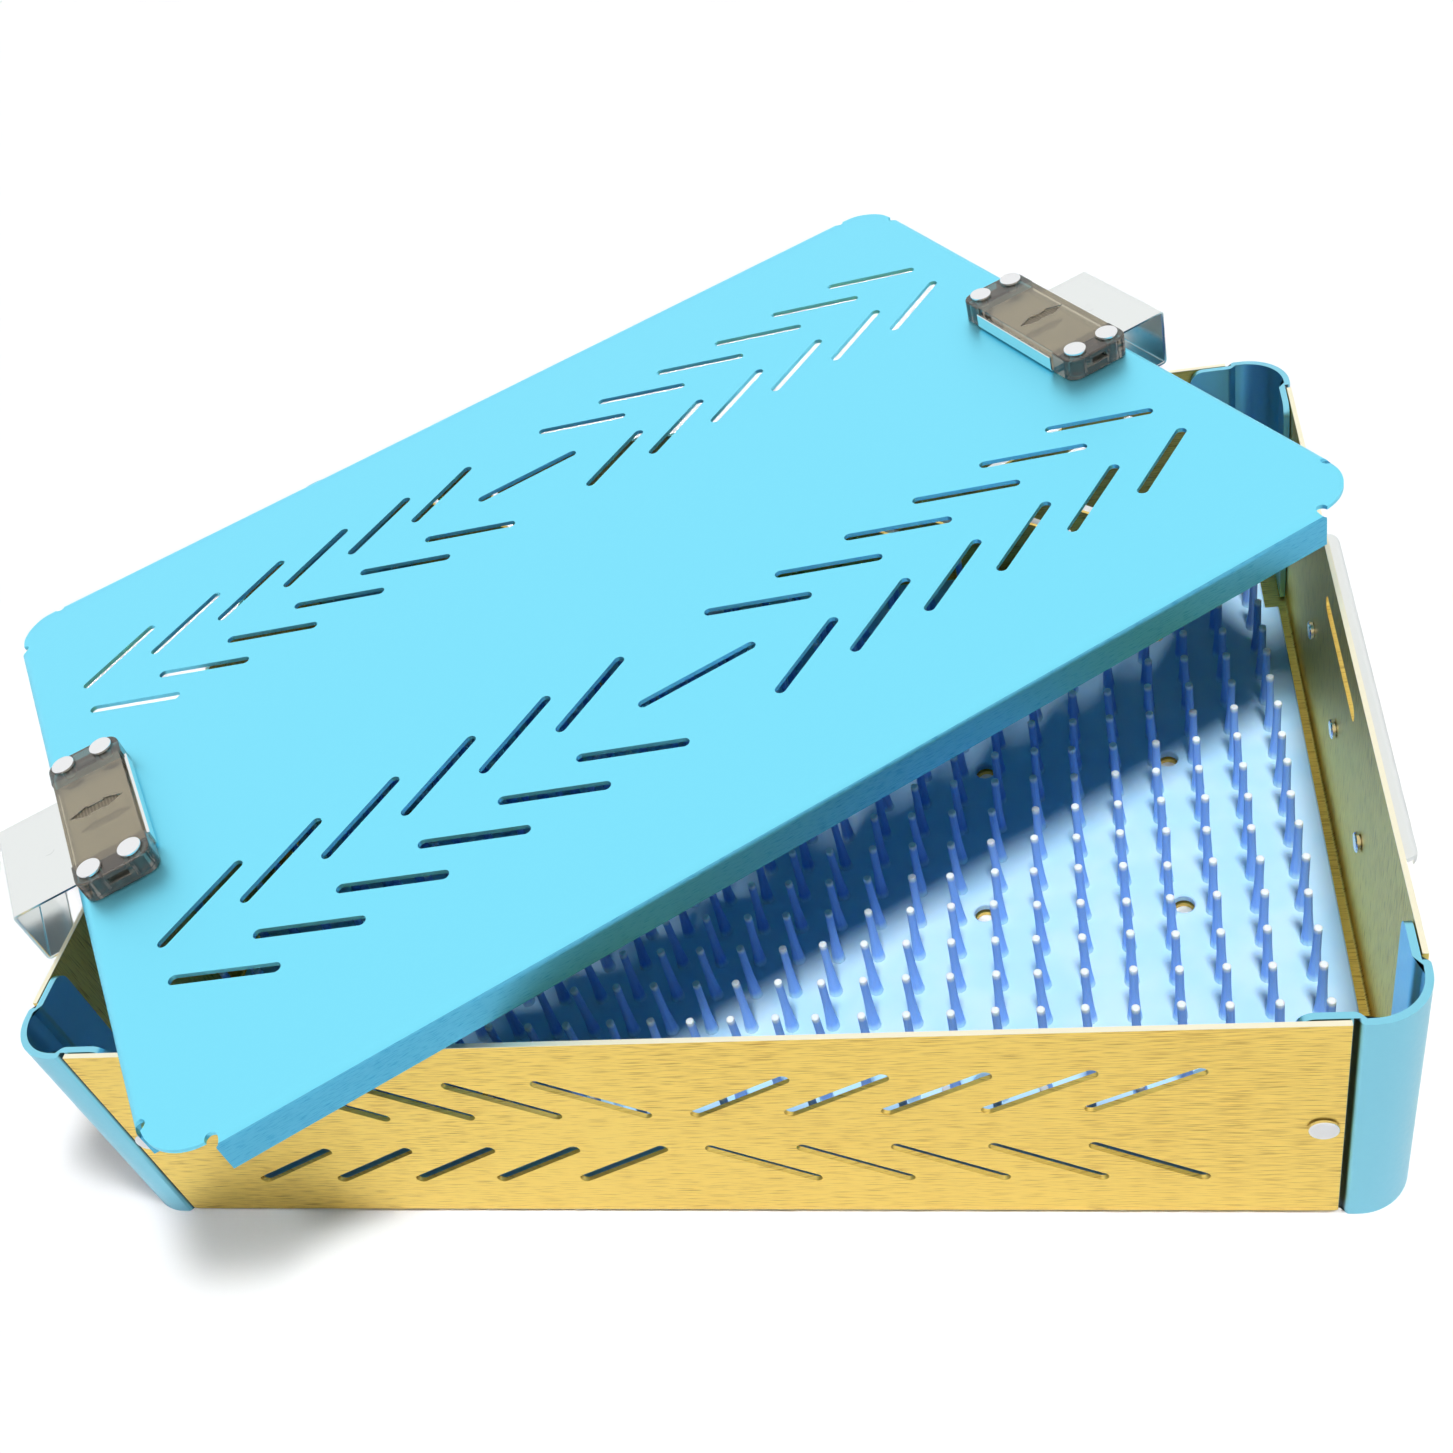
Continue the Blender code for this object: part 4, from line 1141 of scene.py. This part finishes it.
def make_tray(box):
    tray = box.tray
    sheet = box.sheet
    vents = box.vents
    gold = look("gold")
    half_x, half_y = halves(tray)
    work = folded_pan("tray", box, tray, tray.height)
    carve(work, joined(*(post_column(box, sx, sy) for sx, sy in CORNERS.values())))
    carve(work, joined(*wall_foot_cuts(box)))
    cuts = shank_holes(box, post_rivet_places(box)) + shank_holes(box, bracket_rivet_places(box))
    slot_middle = (0, tray.slot_low + tray.slot_height / 2)
    slot = stadium(slot_middle, tray.slot_length, tray.slot_height, sheet.steps)
    for side in ENDS.values():
        end = side * half_x
        cuts.append(prism(slot, end - sheet.overrun, end + sheet.overrun, "YZ"))
    carve(work, joined(*cuts))
    punch_vents(
        box,
        work,
        gold,
        per_group=vents.wall_count,
        first=vents.wall_first,
        spread=vents.wall_rise / 2,
        slant=vents.slant,
        sheet_distance=half_y,
        sheet_turn=math.pi / 2,
        centre_height=vents.wall_low + vents.wall_rise / 2,
        has_middle=False,
    )
    punch_drains(box, work, box.drains.floor_radius, gold)
    break_edges(work, sheet.chamfer)
    finish_piece("box_sheet", baked(work), gold, "tray", ["box_tray"])


# Corner posts
def joggle(start, end, steps):
    """A smooth step from one level to the other."""
    points = []
    for i in range(steps + 1):
        share_done = i / steps
        eased = share_done * share_done * (3 - 2 * share_done)
        points.append((share_done, eased))
    run = Vector(end) - Vector(start)
    return [(start[0] + run.x * u, start[1] + run.y * v) for u, v in points]


def post_path(box):
    """A post's outer face, from its lap on the long wall round to its lap on the end wall."""
    tray = box.tray
    posts = box.posts
    gap = box.sheet.gap
    steps = box.sheet.steps
    half_x, half_y = halves(tray)
    lap_x = half_x - box.sheet.thickness - gap
    lap_y = half_y - box.sheet.thickness - gap
    end_x = half_x - tray.post_face
    end_y = half_y - tray.post_face
    path = [(end_x - posts.lap, lap_y)]
    path += joggle((end_x + gap, lap_y), (end_x + gap + posts.step, half_y), steps)
    centre = (half_x - posts.radius, half_y - posts.radius)
    path += arc(centre, posts.radius, math.pi / 2, 0, 2 * steps)
    turned_step = joggle((lap_y, 0), (half_y, 1), steps)
    down = [
        (lap_x + (half_x - lap_x) * eased, end_y + gap + posts.step * (y - lap_y) / (half_y - lap_y))
        for y, eased in turned_step
    ]
    path += down[::-1]
    path.append((lap_x, end_y - posts.lap))
    return path


def post_foot(box):
    """Room for the floor inside a post, and for the wall's fold under each lap."""
    tray = box.tray
    sheet = box.sheet
    inset = box.posts.thickness + sheet.gap
    radius = box.posts.radius - inset
    face = tray.post_face - sheet.gap
    *line, (out_x, out_y) = corner_area(tray, face, inset, radius, sheet, sheet.steps)
    return [(0, 0), (0, out_y), *line, (out_x, 0)]


def lap_corner_cuts(box):
    """The roundings at the top end of a post's two laps."""
    tray = box.tray
    posts = box.posts
    over = box.sheet.overrun
    cuts = []
    for half_wall, distance, plane in walls(tray):
        end = (half_wall - tray.post_face - posts.lap, tray.height)
        outline = corner_waste(end, (1, -1), posts.lap_corner, over, box.sheet.steps)
        cuts.append(prism(outline, distance - over, distance + over, plane))
    return cuts


def make_posts(box):
    """Folds the back right post, and stands its mirror image in each other corner."""
    sheet = box.sheet
    outline = strip(post_path(box), -box.posts.thickness)
    work = work_object("post_work", prism(outline, 0, box.tray.height))
    carve(work, prism(post_foot(box), -sheet.overrun, box.tray.bend + sheet.gap))
    carve(work, joined(*lap_corner_cuts(box)))
    carve(work, joined(*shank_holes(box, post_rivet_places(box))))
    break_edges(work, sheet.chamfer)
    folded = baked(work)
    for name, (sx, sy) in CORNERS.items():
        mesh = folded.copy()
        mesh.transform(Matrix.Diagonal((sx, sy, 1, 1)))
        if sx * sy < 0:
            mesh.flip_normals()
        node = name + "_post"
        finish_piece(node + "_sheet", mesh, look("post"), "tray", [node])
    bpy.data.meshes.remove(folded)


# Handle brackets
def make_brackets(box):
    bracket = box.brackets
    sheet = box.sheet
    steel = look("steel")
    face = box.tray.length / 2 + sheet.gap
    outer = box.tray.length / 2 + bracket.reach
    lip_low = bracket.top - bracket.lip
    path = [(face, bracket.low), (face, bracket.top), (outer, bracket.top), (outer, lip_low)]
    inner = offset_path(path, -bracket.thickness)
    inner = filleted(inner, bracket.bend - bracket.thickness, sheet.steps)
    outline = strip(inner, bracket.thickness)
    half = bracket.length / 2
    for name, side in ENDS.items():
        work = work_object("bracket_work", prism(mirrored(outline, side, 1), -half, half, "XZ"))
        cuts = []
        for end in (-1, 1):
            waste = corner_waste(
                (side * outer, end * half), (-side, -end), bracket.corner, sheet.gap, sheet.steps
            )
            cuts.append(prism(waste, lip_low - sheet.gap, bracket.top + sheet.gap))
        carve(work, joined(*cuts))
        carve(work, joined(*shank_holes(box, bracket_rivet_places(box))))
        break_edges(work, sheet.chamfer)
        node = name + "_handle_bracket"
        finish_piece(node + "_sheet", baked(work), steel, "tray", [node])


# Rivets
def rivet_profile(box, grip):
    rivets = box.rivets
    low = box.sheet.gap
    crown = rivets.head_height
    crown_steps = 4
    dome = 0.6
    edge = crown / 3
    radius = rivets.head_radius
    tail_edge = rivets.tail_height / 3
    tail_top = -grip - box.sheet.gap
    tail_low = tail_top - rivets.tail_height
    profile = [(0, low + crown)]
    for step in range(1, crown_steps + 1):
        at = step / crown_steps
        profile.append(((radius - edge) * at, low + crown - (crown - 2 * edge) * at * at * dome))
    rim = profile[-1][1] - edge
    profile += arc((radius - edge, rim), edge, math.pi / 2, 0, crown_steps)[1:]
    profile += [
        (radius, low),
        (rivets.shank_radius, low),
        (rivets.shank_radius, tail_top),
        (rivets.tail_radius, tail_top),
        (rivets.tail_radius, tail_low + tail_edge),
        (rivets.tail_radius - tail_edge, tail_low),
        (0, tail_low),
    ]
    return profile


def set_rivets(name, box, places, grip, body, nodes, place=Matrix()):
    places = list(places)
    points = bpy.data.meshes.new(name + "_points")
    points.from_pydata([Vector(where) for where, facing in places], [], [])
    facings = points.attributes.new("facing", "FLOAT_VECTOR", "POINT")
    for item, (where, facing) in zip(facings.data, places):
        item.vector = facing
    work = bpy.data.objects.new(name + "_work", points)
    bpy.context.scene.collection.objects.link(work)
    model = work_object("rivet_model", turned(rivet_profile(box, grip), box.rivets.sides))
    use_tree(work, "Rivets", rivets_on_points, rivet=model, finish=look("rivet"))
    mesh = baked(work)
    bpy.data.objects.remove(model, do_unlink=True)
    finish_piece(name, mesh, look("rivet"), body, nodes, place)


def make_tray_rivets(box):
    post_nodes = [f"{name}_post_rivet_{wall}" for name in CORNERS for wall in ("long", "end")]
    bracket_nodes = [f"{name}_bracket_rivet_{i}" for name in ENDS for i in (1, 2, 3)]
    for name, places, backing, nodes in (
        ("post_rivets", post_rivet_places(box), box.posts.thickness, post_nodes),
        ("bracket_rivets", bracket_rivet_places(box), box.brackets.thickness, bracket_nodes),
    ):
        grip = box.sheet.thickness + box.sheet.gap + backing
        set_rivets(name, box, places, grip, "tray", nodes)


# Silicone mat
def mat_outline(box):
    mat = box.mat
    half_x, half_y = halves(mat)
    deep_x, deep_y = half_x - mat.notch_depth, half_y - mat.notch_depth
    long_x, long_y = half_x - mat.notch_length, half_y - mat.notch_length
    corner = [
        (half_x, long_y),
        (deep_x, long_y),
        (deep_x, deep_y),
        (long_x, deep_y),
        (long_x, half_y),
    ]
    points = []
    for sx, sy in ((1, 1), (-1, 1), (-1, -1), (1, -1)):
        points += mirrored(corner, sx, sy)[:: sx * sy]
    return points


def make_mat(box):
    mat = box.mat
    top = mat.low + mat.thickness
    silicone = look("milky_silicone")
    work = work_object("mat_work", prism(mat_outline(box), mat.low, top))
    punch_drains(box, work, box.drains.mat_radius, silicone)
    break_edges(work, box.sheet.gap)
    use_tree(
        work,
        "Silicone fingers",
        silicone_fingers,
        **drain_values(box, box.drains.mat_radius),
        columns=mat.columns,
        lines=mat.rows,
        step_x=mat.pitch_x,
        step_y=mat.pitch_y,
        shift_x=mat.shift_x,
        shift_line=mat.shift_y,
        base=top - box.sheet.gap,
        height=mat.finger_height + box.sheet.gap,
        foot=mat.foot_radius,
        tip=mat.tip_radius,
        tip_edge=mat.tip_edge,
        lean=mat.lean,
        finish=silicone,
    )
    finish_piece("finger_mat", baked(work), silicone, "mat", ["silicone_mat"])


# Lid
def ear_cuts(box):
    """What is cut away outside the rounded ears, and the flanges that stop short of them."""
    lid = box.lid
    sheet = box.sheet
    half_x, half_y = halves(lid)
    start_x, start_y = half_x - lid.ear, half_y - lid.ear
    inset = lid.ear_inset
    rounding = corner_area(lid, lid.ear, inset, lid.ear_radius, sheet, 2 * sheet.steps)
    out_x, out_y = rounding[-1]
    square = [(start_x, start_y), (out_x, start_y), (out_x, out_y), (start_x, out_y)]
    notches = [(start_x, half_y - inset), (half_x - inset, start_y)]
    below = -lid.drop - sheet.overrun
    columns = []
    hollows = []
    reliefs = []
    for sx, sy in CORNERS.values():
        columns.append(prism(mirrored(rounding, sx, sy), below, sheet.overrun))
        hollows.append(prism(mirrored(square, sx, sy), below, -sheet.thickness))
        for place in mirrored(notches, sx, sy):
            outline = circle(place, lid.relief, 2 * sheet.steps)
            reliefs.append(prism(outline, -sheet.thickness - lid.bend, sheet.overrun))
    return [joined(*hollows), joined(*columns), joined(*reliefs)]


def latch_middle(box):
    return box.lid.length / 2 - box.latches.inset


def latch_rivet_places(box, side):
    latch = box.latches
    across = latch.width / 2 - latch.rivet_inset_x
    along = latch.length / 2 - latch.rivet_inset_y
    top = box.sheet.gap + latch.height
    for row in (-1, 1):
        for end in (-1, 1):
            yield (side * latch_middle(box) + end * across, row * along, top), (0, 0, 1)


def make_lid(box):
    lid = box.lid
    sheet = box.sheet
    vents = box.vents
    blue = look("blue")
    work = folded_pan("lid", box, lid, -lid.drop)
    for cut in ear_cuts(box):
        carve(work, cut)
    holes = []
    for side in ENDS.values():
        for (x, y, top), facing in latch_rivet_places(box, side):
            holes.append(hole(box, (x, y, 0), facing))
    carve(work, joined(*holes))
    punch_vents(
        box,
        work,
        blue,
        per_group=vents.lid_count,
        first=vents.lid_first,
        spread=vents.lid_spread,
        slant=-vents.slant,
        sheet_distance=vents.lid_band,
        sheet_turn=0.0,
        centre_height=0.0,
        has_middle=True,
    )
    break_edges(work, sheet.chamfer)
    finish_piece(
        "lid_sheet", baked(work), blue, "lid", ["lid_cover"], LID_PLACE
    )


# Latches, in the lid's frame with +X towards the hook
def latch_place(side):
    turn = Matrix() if side > 0 else Matrix.Rotation(math.pi, 4, "Z")
    return LID_PLACE @ turn


def arrow_outline(box):
    latch = box.latches
    middle = latch_middle(box)
    half = latch.arrow_length / 2
    neck = half - latch.arrow_head
    upper = [(half, 0), (neck, latch.arrow_half), (neck, latch.arrow_shaft)]
    upper += mirrored(upper[:0:-1], -1, 1)
    lower = [(-half, 0)] + mirrored(upper[:0:-1], 1, -1)
    return [(middle + x, y) for x, y in upper + lower]


def housing_cuts(box):
    """The slide's channel, the waist beside it and a slot in each end face."""
    latch = box.latches
    sheet = box.sheet
    middle = latch_middle(box)
    channel = latch.length / 2 - latch.cheek + sheet.gap
    channel_top = latch.slide_sheet + 2 * sheet.gap
    top = sheet.gap + latch.height
    out = latch.width / 2 + sheet.overrun
    waist = latch.width / 2 - latch.waist
    low = -sheet.overrun
    boxes = [((-out, -channel, low), (out, channel, channel_top))]
    for first, last in ((-out, -waist), (waist, out)):
        boxes.append(((first, -channel, low - sheet.gap), (last, channel, top + sheet.overrun)))
    half = latch.slot_width / 2
    slot_top = top - latch.roof
    slot_low = slot_top - latch.slot_height
    outer = latch.length / 2 + sheet.overrun
    inner = latch.length / 2 - latch.slot_depth
    for first, last in ((-outer, -inner), (inner, outer)):
        boxes.append(((-half, first, slot_low), (half, last, slot_top)))
    return [block((middle + a[0], *a[1:]), (middle + b[0], *b[1:])) for a, b in boxes]


def make_housings(box):
    latch = box.latches
    sheet = box.sheet
    top = sheet.gap + latch.height
    radius = box.rivets.shank_radius + sheet.gap
    for name, side in ENDS.items():
        outline = rounded_rectangle(
            (latch_middle(box), 0), latch.width / 2, latch.length / 2, latch.radius, sheet.steps
        )
        body = prism(outline, sheet.gap, top)
        edge_steps = sheet.steps // 2
        soften(body, latch.edge, edge_steps, lambda a, b: a.z == b.z and a.z > latch.height / 2)
        work = work_object("housing_work", body)
        for cut in housing_cuts(box):
            carve(work, cut)
        details = [prism(arrow_outline(box), top - latch.arrow_depth, top + sheet.overrun)]
        for (x, y, level), facing in latch_rivet_places(box, 1):
            ring = circle((x, y), radius, RIVET_HOLE_SIDES)
            details.append(prism(ring, 0, top + sheet.overrun))
        carve(work, joined(*details))
        break_edges(work, sheet.chamfer)
        finish_latch_piece(name + "_latch_housing", "_moulding", work, "smoke", "lid", side)


def finish_latch_piece(node, ending, work, finish, body, side):
    place = latch_place(side)
    finish_piece(node + ending, baked(work), look(finish), body, [node], place)


def slide_path(box):
    """A slide's upper face, from its upright end to the tip of the hook's lip."""
    latch = box.latches
    gap = box.sheet.gap
    steps = box.sheet.steps
    half = box.lid.length / 2
    end = half - latch.inset - latch.width / 2 + latch.waist - gap
    top = gap + latch.slide_sheet
    reach = half + latch.overhang
    tip = reach - latch.slide_sheet - latch.hook_lip
    low = -latch.hook_drop
    bend = latch.slide_bend
    inner = latch.end_bend
    path = [(end, latch.end_height)]
    path += arc((end + inner, top + inner), inner, math.pi, 3 * math.pi / 2, steps)
    path += arc((reach - bend, top - bend), bend, math.pi / 2, 0, steps)
    path += arc((reach - bend, low + bend), bend, 0, -math.pi / 2, steps)
    path.append((tip, low))
    return path


def slide_cuts(box):
    latch = box.latches
    gap = box.sheet.gap
    top = gap + latch.slide_sheet
    half = latch.length / 2 - latch.cheek
    tip = slide_path(box)[-1][0]
    radius = latch.dimple_radius
    dish_steps = 6
    dish_power = 4
    profile = [(0, top - latch.dimple_depth)]
    for step in range(1, dish_steps + 1):
        at = step / dish_steps
        profile.append((radius * at, top - latch.dimple_depth * (1 - at ** dish_power)))
    profile += [(radius, top + box.sheet.overrun), (0, top + box.sheet.overrun)]
    dish = turned(profile, DISH_SIDES)
    dish.transform(Matrix.Translation((latch_middle(box) + latch.dimple_place, 0, 0)))
    cuts = [dish]
    corner = [
        (tip - gap, half - latch.hook_corner - gap),
        (tip - gap, half + gap),
        (tip + latch.hook_corner + gap, half + gap),
    ]
    for end in (-1, 1):
        cuts.append(prism(mirrored(corner, 1, end), -latch.hook_drop - gap, top - latch.hook_drop))
    return cuts


def make_slides(box):
    latch = box.latches
    half = latch.length / 2 - latch.cheek
    outline = strip(slide_path(box), -latch.slide_sheet)
    for name, side in ENDS.items():
        work = work_object("slide_work", prism(outline, -half, half, "XZ"))
        carve(work, joined(*slide_cuts(box)))
        break_edges(work, box.sheet.chamfer)
        finish_latch_piece(name + "_latch_slide", "_sheet", work, "slide", name + "_latch", side)


def make_lid_rivets(box):
    places = [place for side in ENDS.values() for place in latch_rivet_places(box, side)]
    grip = box.sheet.gap + box.latches.height + box.sheet.thickness
    nodes = [f"{name}_latch_rivet_{i}" for name in ENDS for i in (1, 2, 3, 4)]
    set_rivets("latch_rivets", box, places, grip, "lid", nodes, LID_PLACE)


# Operators
def run(step, context):
    """Runs one step, which raises an error where it fails."""
    step(context.scene.sterilization_box)
    return {"FINISHED"}


class BOX_OT_tray(bpy.types.Operator):
    """Folds the gold tray and punches its vents, slots and drain holes"""

    bl_idname = "sterilization_box.tray"
    bl_label = "Tray"

    def execute(self, context):
        return run(make_tray, context)


class BOX_OT_posts(bpy.types.Operator):
    """Stands a rounded blue post in each corner"""

    bl_idname = "sterilization_box.posts"
    bl_label = "Corner Posts"

    def execute(self, context):
        return run(make_posts, context)


class BOX_OT_brackets(bpy.types.Operator):
    """Folds the handle bracket of each end wall"""

    bl_idname = "sterilization_box.brackets"
    bl_label = "Handle Brackets"

    def execute(self, context):
        return run(make_brackets, context)


class BOX_OT_tray_rivets(bpy.types.Operator):
    """Sets the rivets of the posts and the brackets"""

    bl_idname = "sterilization_box.tray_rivets"
    bl_label = "Tray Rivets"

    def execute(self, context):
        return run(make_tray_rivets, context)


class BOX_OT_mat(bpy.types.Operator):
    """Lays the silicone mat and stands its fingers on it"""

    bl_idname = "sterilization_box.mat"
    bl_label = "Finger Mat"

    def execute(self, context):
        return run(make_mat, context)


class BOX_OT_lid(bpy.types.Operator):
    """Folds the blue lid and punches its chevron bands"""

    bl_idname = "sterilization_box.lid"
    bl_label = "Lid"

    def execute(self, context):
        return run(make_lid, context)


class BOX_OT_housings(bpy.types.Operator):
    """Moulds the smoky housing of each latch"""

    bl_idname = "sterilization_box.housings"
    bl_label = "Latch Housings"

    def execute(self, context):
        return run(make_housings, context)


class BOX_OT_slides(bpy.types.Operator):
    """Folds the slide of each latch, with its hook"""

    bl_idname = "sterilization_box.slides"
    bl_label = "Latch Slides"

    def execute(self, context):
        return run(make_slides, context)


class BOX_OT_lid_rivets(bpy.types.Operator):
    """Sets the four rivets of each latch housing"""

    bl_idname = "sterilization_box.lid_rivets"
    bl_label = "Lid Rivets"

    def execute(self, context):
        return run(make_lid_rivets, context)


# Stage
def shown_plainly(graph):
    """1 where the camera, a reflection or a clear piece looks at the stage, and 0 for its light."""
    camera, glossy, clear, bounces = [
        graph.node("ShaderNodeLightPath", output=label)
        for label in ("Is Camera Ray", "Is Glossy Ray", "Is Transmission Ray", "Diffuse Depth")
    ]
    return (camera + glossy + clear > 0.5) * (bounces < 0.5)


def make_floor(stage):
    graph = new_finish("studio_floor")
    nodes = graph.tree.nodes
    nodes.remove(nodes["Principled BSDF"])
    paint = graph.node("ShaderNodeBsdfDiffuse", inputs={"Color": stage.floor})
    white = graph.node("ShaderNodeEmission", inputs={"Strength": 1.0})
    mixed = graph.node(
        "ShaderNodeMixShader", inputs={0: shown_plainly(graph) * stage.glow, 1: paint, 2: white}
    )
    graph.feed(nodes["Material Output"].inputs["Surface"], mixed)
    half = stage.floor_size / 2
    level = -0.0001
    corners = [(-half, -half, level), (half, -half, level), (half, half, level), (-half, half, level)]
    mesh = bpy.data.meshes.new("studio_floor")
    mesh.from_pydata(corners, [], [(0, 1, 2, 3)])
    mesh.materials.append(bpy.data.materials["studio_floor"])
    floor = bpy.data.objects.new("studio_floor", mesh)
    bpy.context.scene.collection.objects.link(floor)
    return floor


def make_world(stage):
    world = bpy.data.worlds.new("studio")
    world.use_nodes = True
    graph = Graph(world.node_tree)
    plain = shown_plainly(graph)
    background = world.node_tree.nodes["Background"]
    graph.feed(background.inputs["Color"], graph.blend(plain, stage.sky_tint, (1.0, 1.0, 1.0)))
    graph.feed(background.inputs["Strength"], stage.sky + plain * (1 - stage.sky))
    bpy.context.scene.world = world


# Where each lamp stands, and whether the floor is all that it lights or all that it leaves out
IN_FRONT = (0.06, -0.32, 0.945)
AT_THE_RIGHT = (0.395, -0.146, 0.907)
LAMPS = {
    "front_lamp": (IN_FRONT, None),
    "box_lamp": (IN_FRONT, "EXCLUDE"),
    "floor_lamp": (AT_THE_RIGHT, "INCLUDE"),
}


def make_lamps(stage, floor):
    """Soft lamps, which metal doesn't mirror, because its shine comes from the white room."""
    for name, (towards, floor_state) in LAMPS.items():
        data = bpy.data.lights.new(name, "SUN")
        data.energy = getattr(stage, name)
        data.angle = stage.lamp_spread
        lamp = bpy.data.objects.new(name, data)
        bpy.context.scene.collection.objects.link(lamp)
        lamp.visible_glossy = False
        lamp.rotation_euler = Vector(towards).to_track_quat("Z", "Y").to_euler()
        if floor_state:
            lit = bpy.data.collections.new(name + "_floor")
            lit.objects.link(floor)
            lit.collection_objects[0].light_linking.link_state = floor_state
            lamp.light_linking.receiver_collection = lit


def make_camera():
    """The photograph's view, fitted to the box's corners."""
    image_size = 1453
    focal_pixels = 1570.13
    centre_x, centre_y = 705.73, 727.39
    right = Vector((0.96552, 0.12658, -0.22748))
    down = Vector((-0.07458, -0.70268, -0.70758))
    ahead = Vector((-0.24941, 0.70015, -0.66901))
    data = bpy.data.cameras.new("camera")
    data.sensor_width = 36
    data.lens = data.sensor_width * focal_pixels / image_size
    data.shift_x = (image_size / 2 - centre_x) / image_size
    data.shift_y = (centre_y - image_size / 2) / image_size
    data.clip_start = 0.01
    camera = bpy.data.objects.new("camera", data)
    bpy.context.scene.collection.objects.link(camera)
    place = Matrix((right, -down, -ahead)).transposed().to_4x4()
    place.translation = (0.08363, -0.24708, 0.2784)
    camera.matrix_world = place
    bpy.context.scene.camera = camera


def make_stage(box):
    floor = make_floor(box.stage)
    make_world(box.stage)
    make_lamps(box.stage, floor)
    make_camera()
    bpy.context.scene.view_settings.view_transform = "Standard"


class BOX_OT_stage(bpy.types.Operator):
    """Sets the white floor, the soft light and the photograph's camera"""

    bl_idname = "sterilization_box.stage"
    bl_label = "Stage"

    def execute(self, context):
        return run(make_stage, context)


OPERATORS = (
    BOX_OT_tray,
    BOX_OT_posts,
    BOX_OT_brackets,
    BOX_OT_tray_rivets,
    BOX_OT_mat,
    BOX_OT_lid,
    BOX_OT_housings,
    BOX_OT_slides,
    BOX_OT_lid_rivets,
    BOX_OT_stage,
)


class BOX_PT_panel(bpy.types.Panel):
    """Lists the steps that build the box"""

    bl_idname = "BOX_PT_panel"
    bl_label = "Sterilization Box"
    bl_space_type = "VIEW_3D"
    bl_region_type = "UI"
    bl_category = "Sterilization Box"

    def draw(self, context):
        for operator in OPERATORS:
            self.layout.operator(operator.bl_idname)
        box = context.scene.sterilization_box
        for group in box.bl_rna.properties:
            if group.type != "POINTER" or group.identifier == "rna_type":
                continue
            column = self.layout.box().column()
            column.label(text=group.identifier.title())
            settings = getattr(box, group.identifier)
            for name in settings.__annotations__:
                column.prop(settings, name)


CLASSES = (
    SheetSettings,
    TraySettings,
    VentSettings,
    PostSettings,
    BracketSettings,
    RivetSettings,
    MatSettings,
    DrainSettings,
    LidSettings,
    LatchSettings,
    FinishSettings,
    StageSettings,
    BoxSettings,
    *OPERATORS,
    BOX_PT_panel,
)


def register():
    for kind in CLASSES:
        bpy.utils.register_class(kind)
    bpy.types.Scene.sterilization_box = bpy.props.PointerProperty(type=BoxSettings)


def unregister():
    del bpy.types.Scene.sterilization_box
    for kind in reversed(CLASSES):
        bpy.utils.unregister_class(kind)


def main():
    register()
    bpy.ops.sterilization_box.tray()
    bpy.ops.sterilization_box.posts()
    bpy.ops.sterilization_box.brackets()
    bpy.ops.sterilization_box.tray_rivets()
    bpy.ops.sterilization_box.mat()
    bpy.ops.sterilization_box.lid()
    bpy.ops.sterilization_box.housings()
    bpy.ops.sterilization_box.slides()
    bpy.ops.sterilization_box.lid_rivets()
    bpy.ops.sterilization_box.stage()


if __name__ == "__main__":
    main()
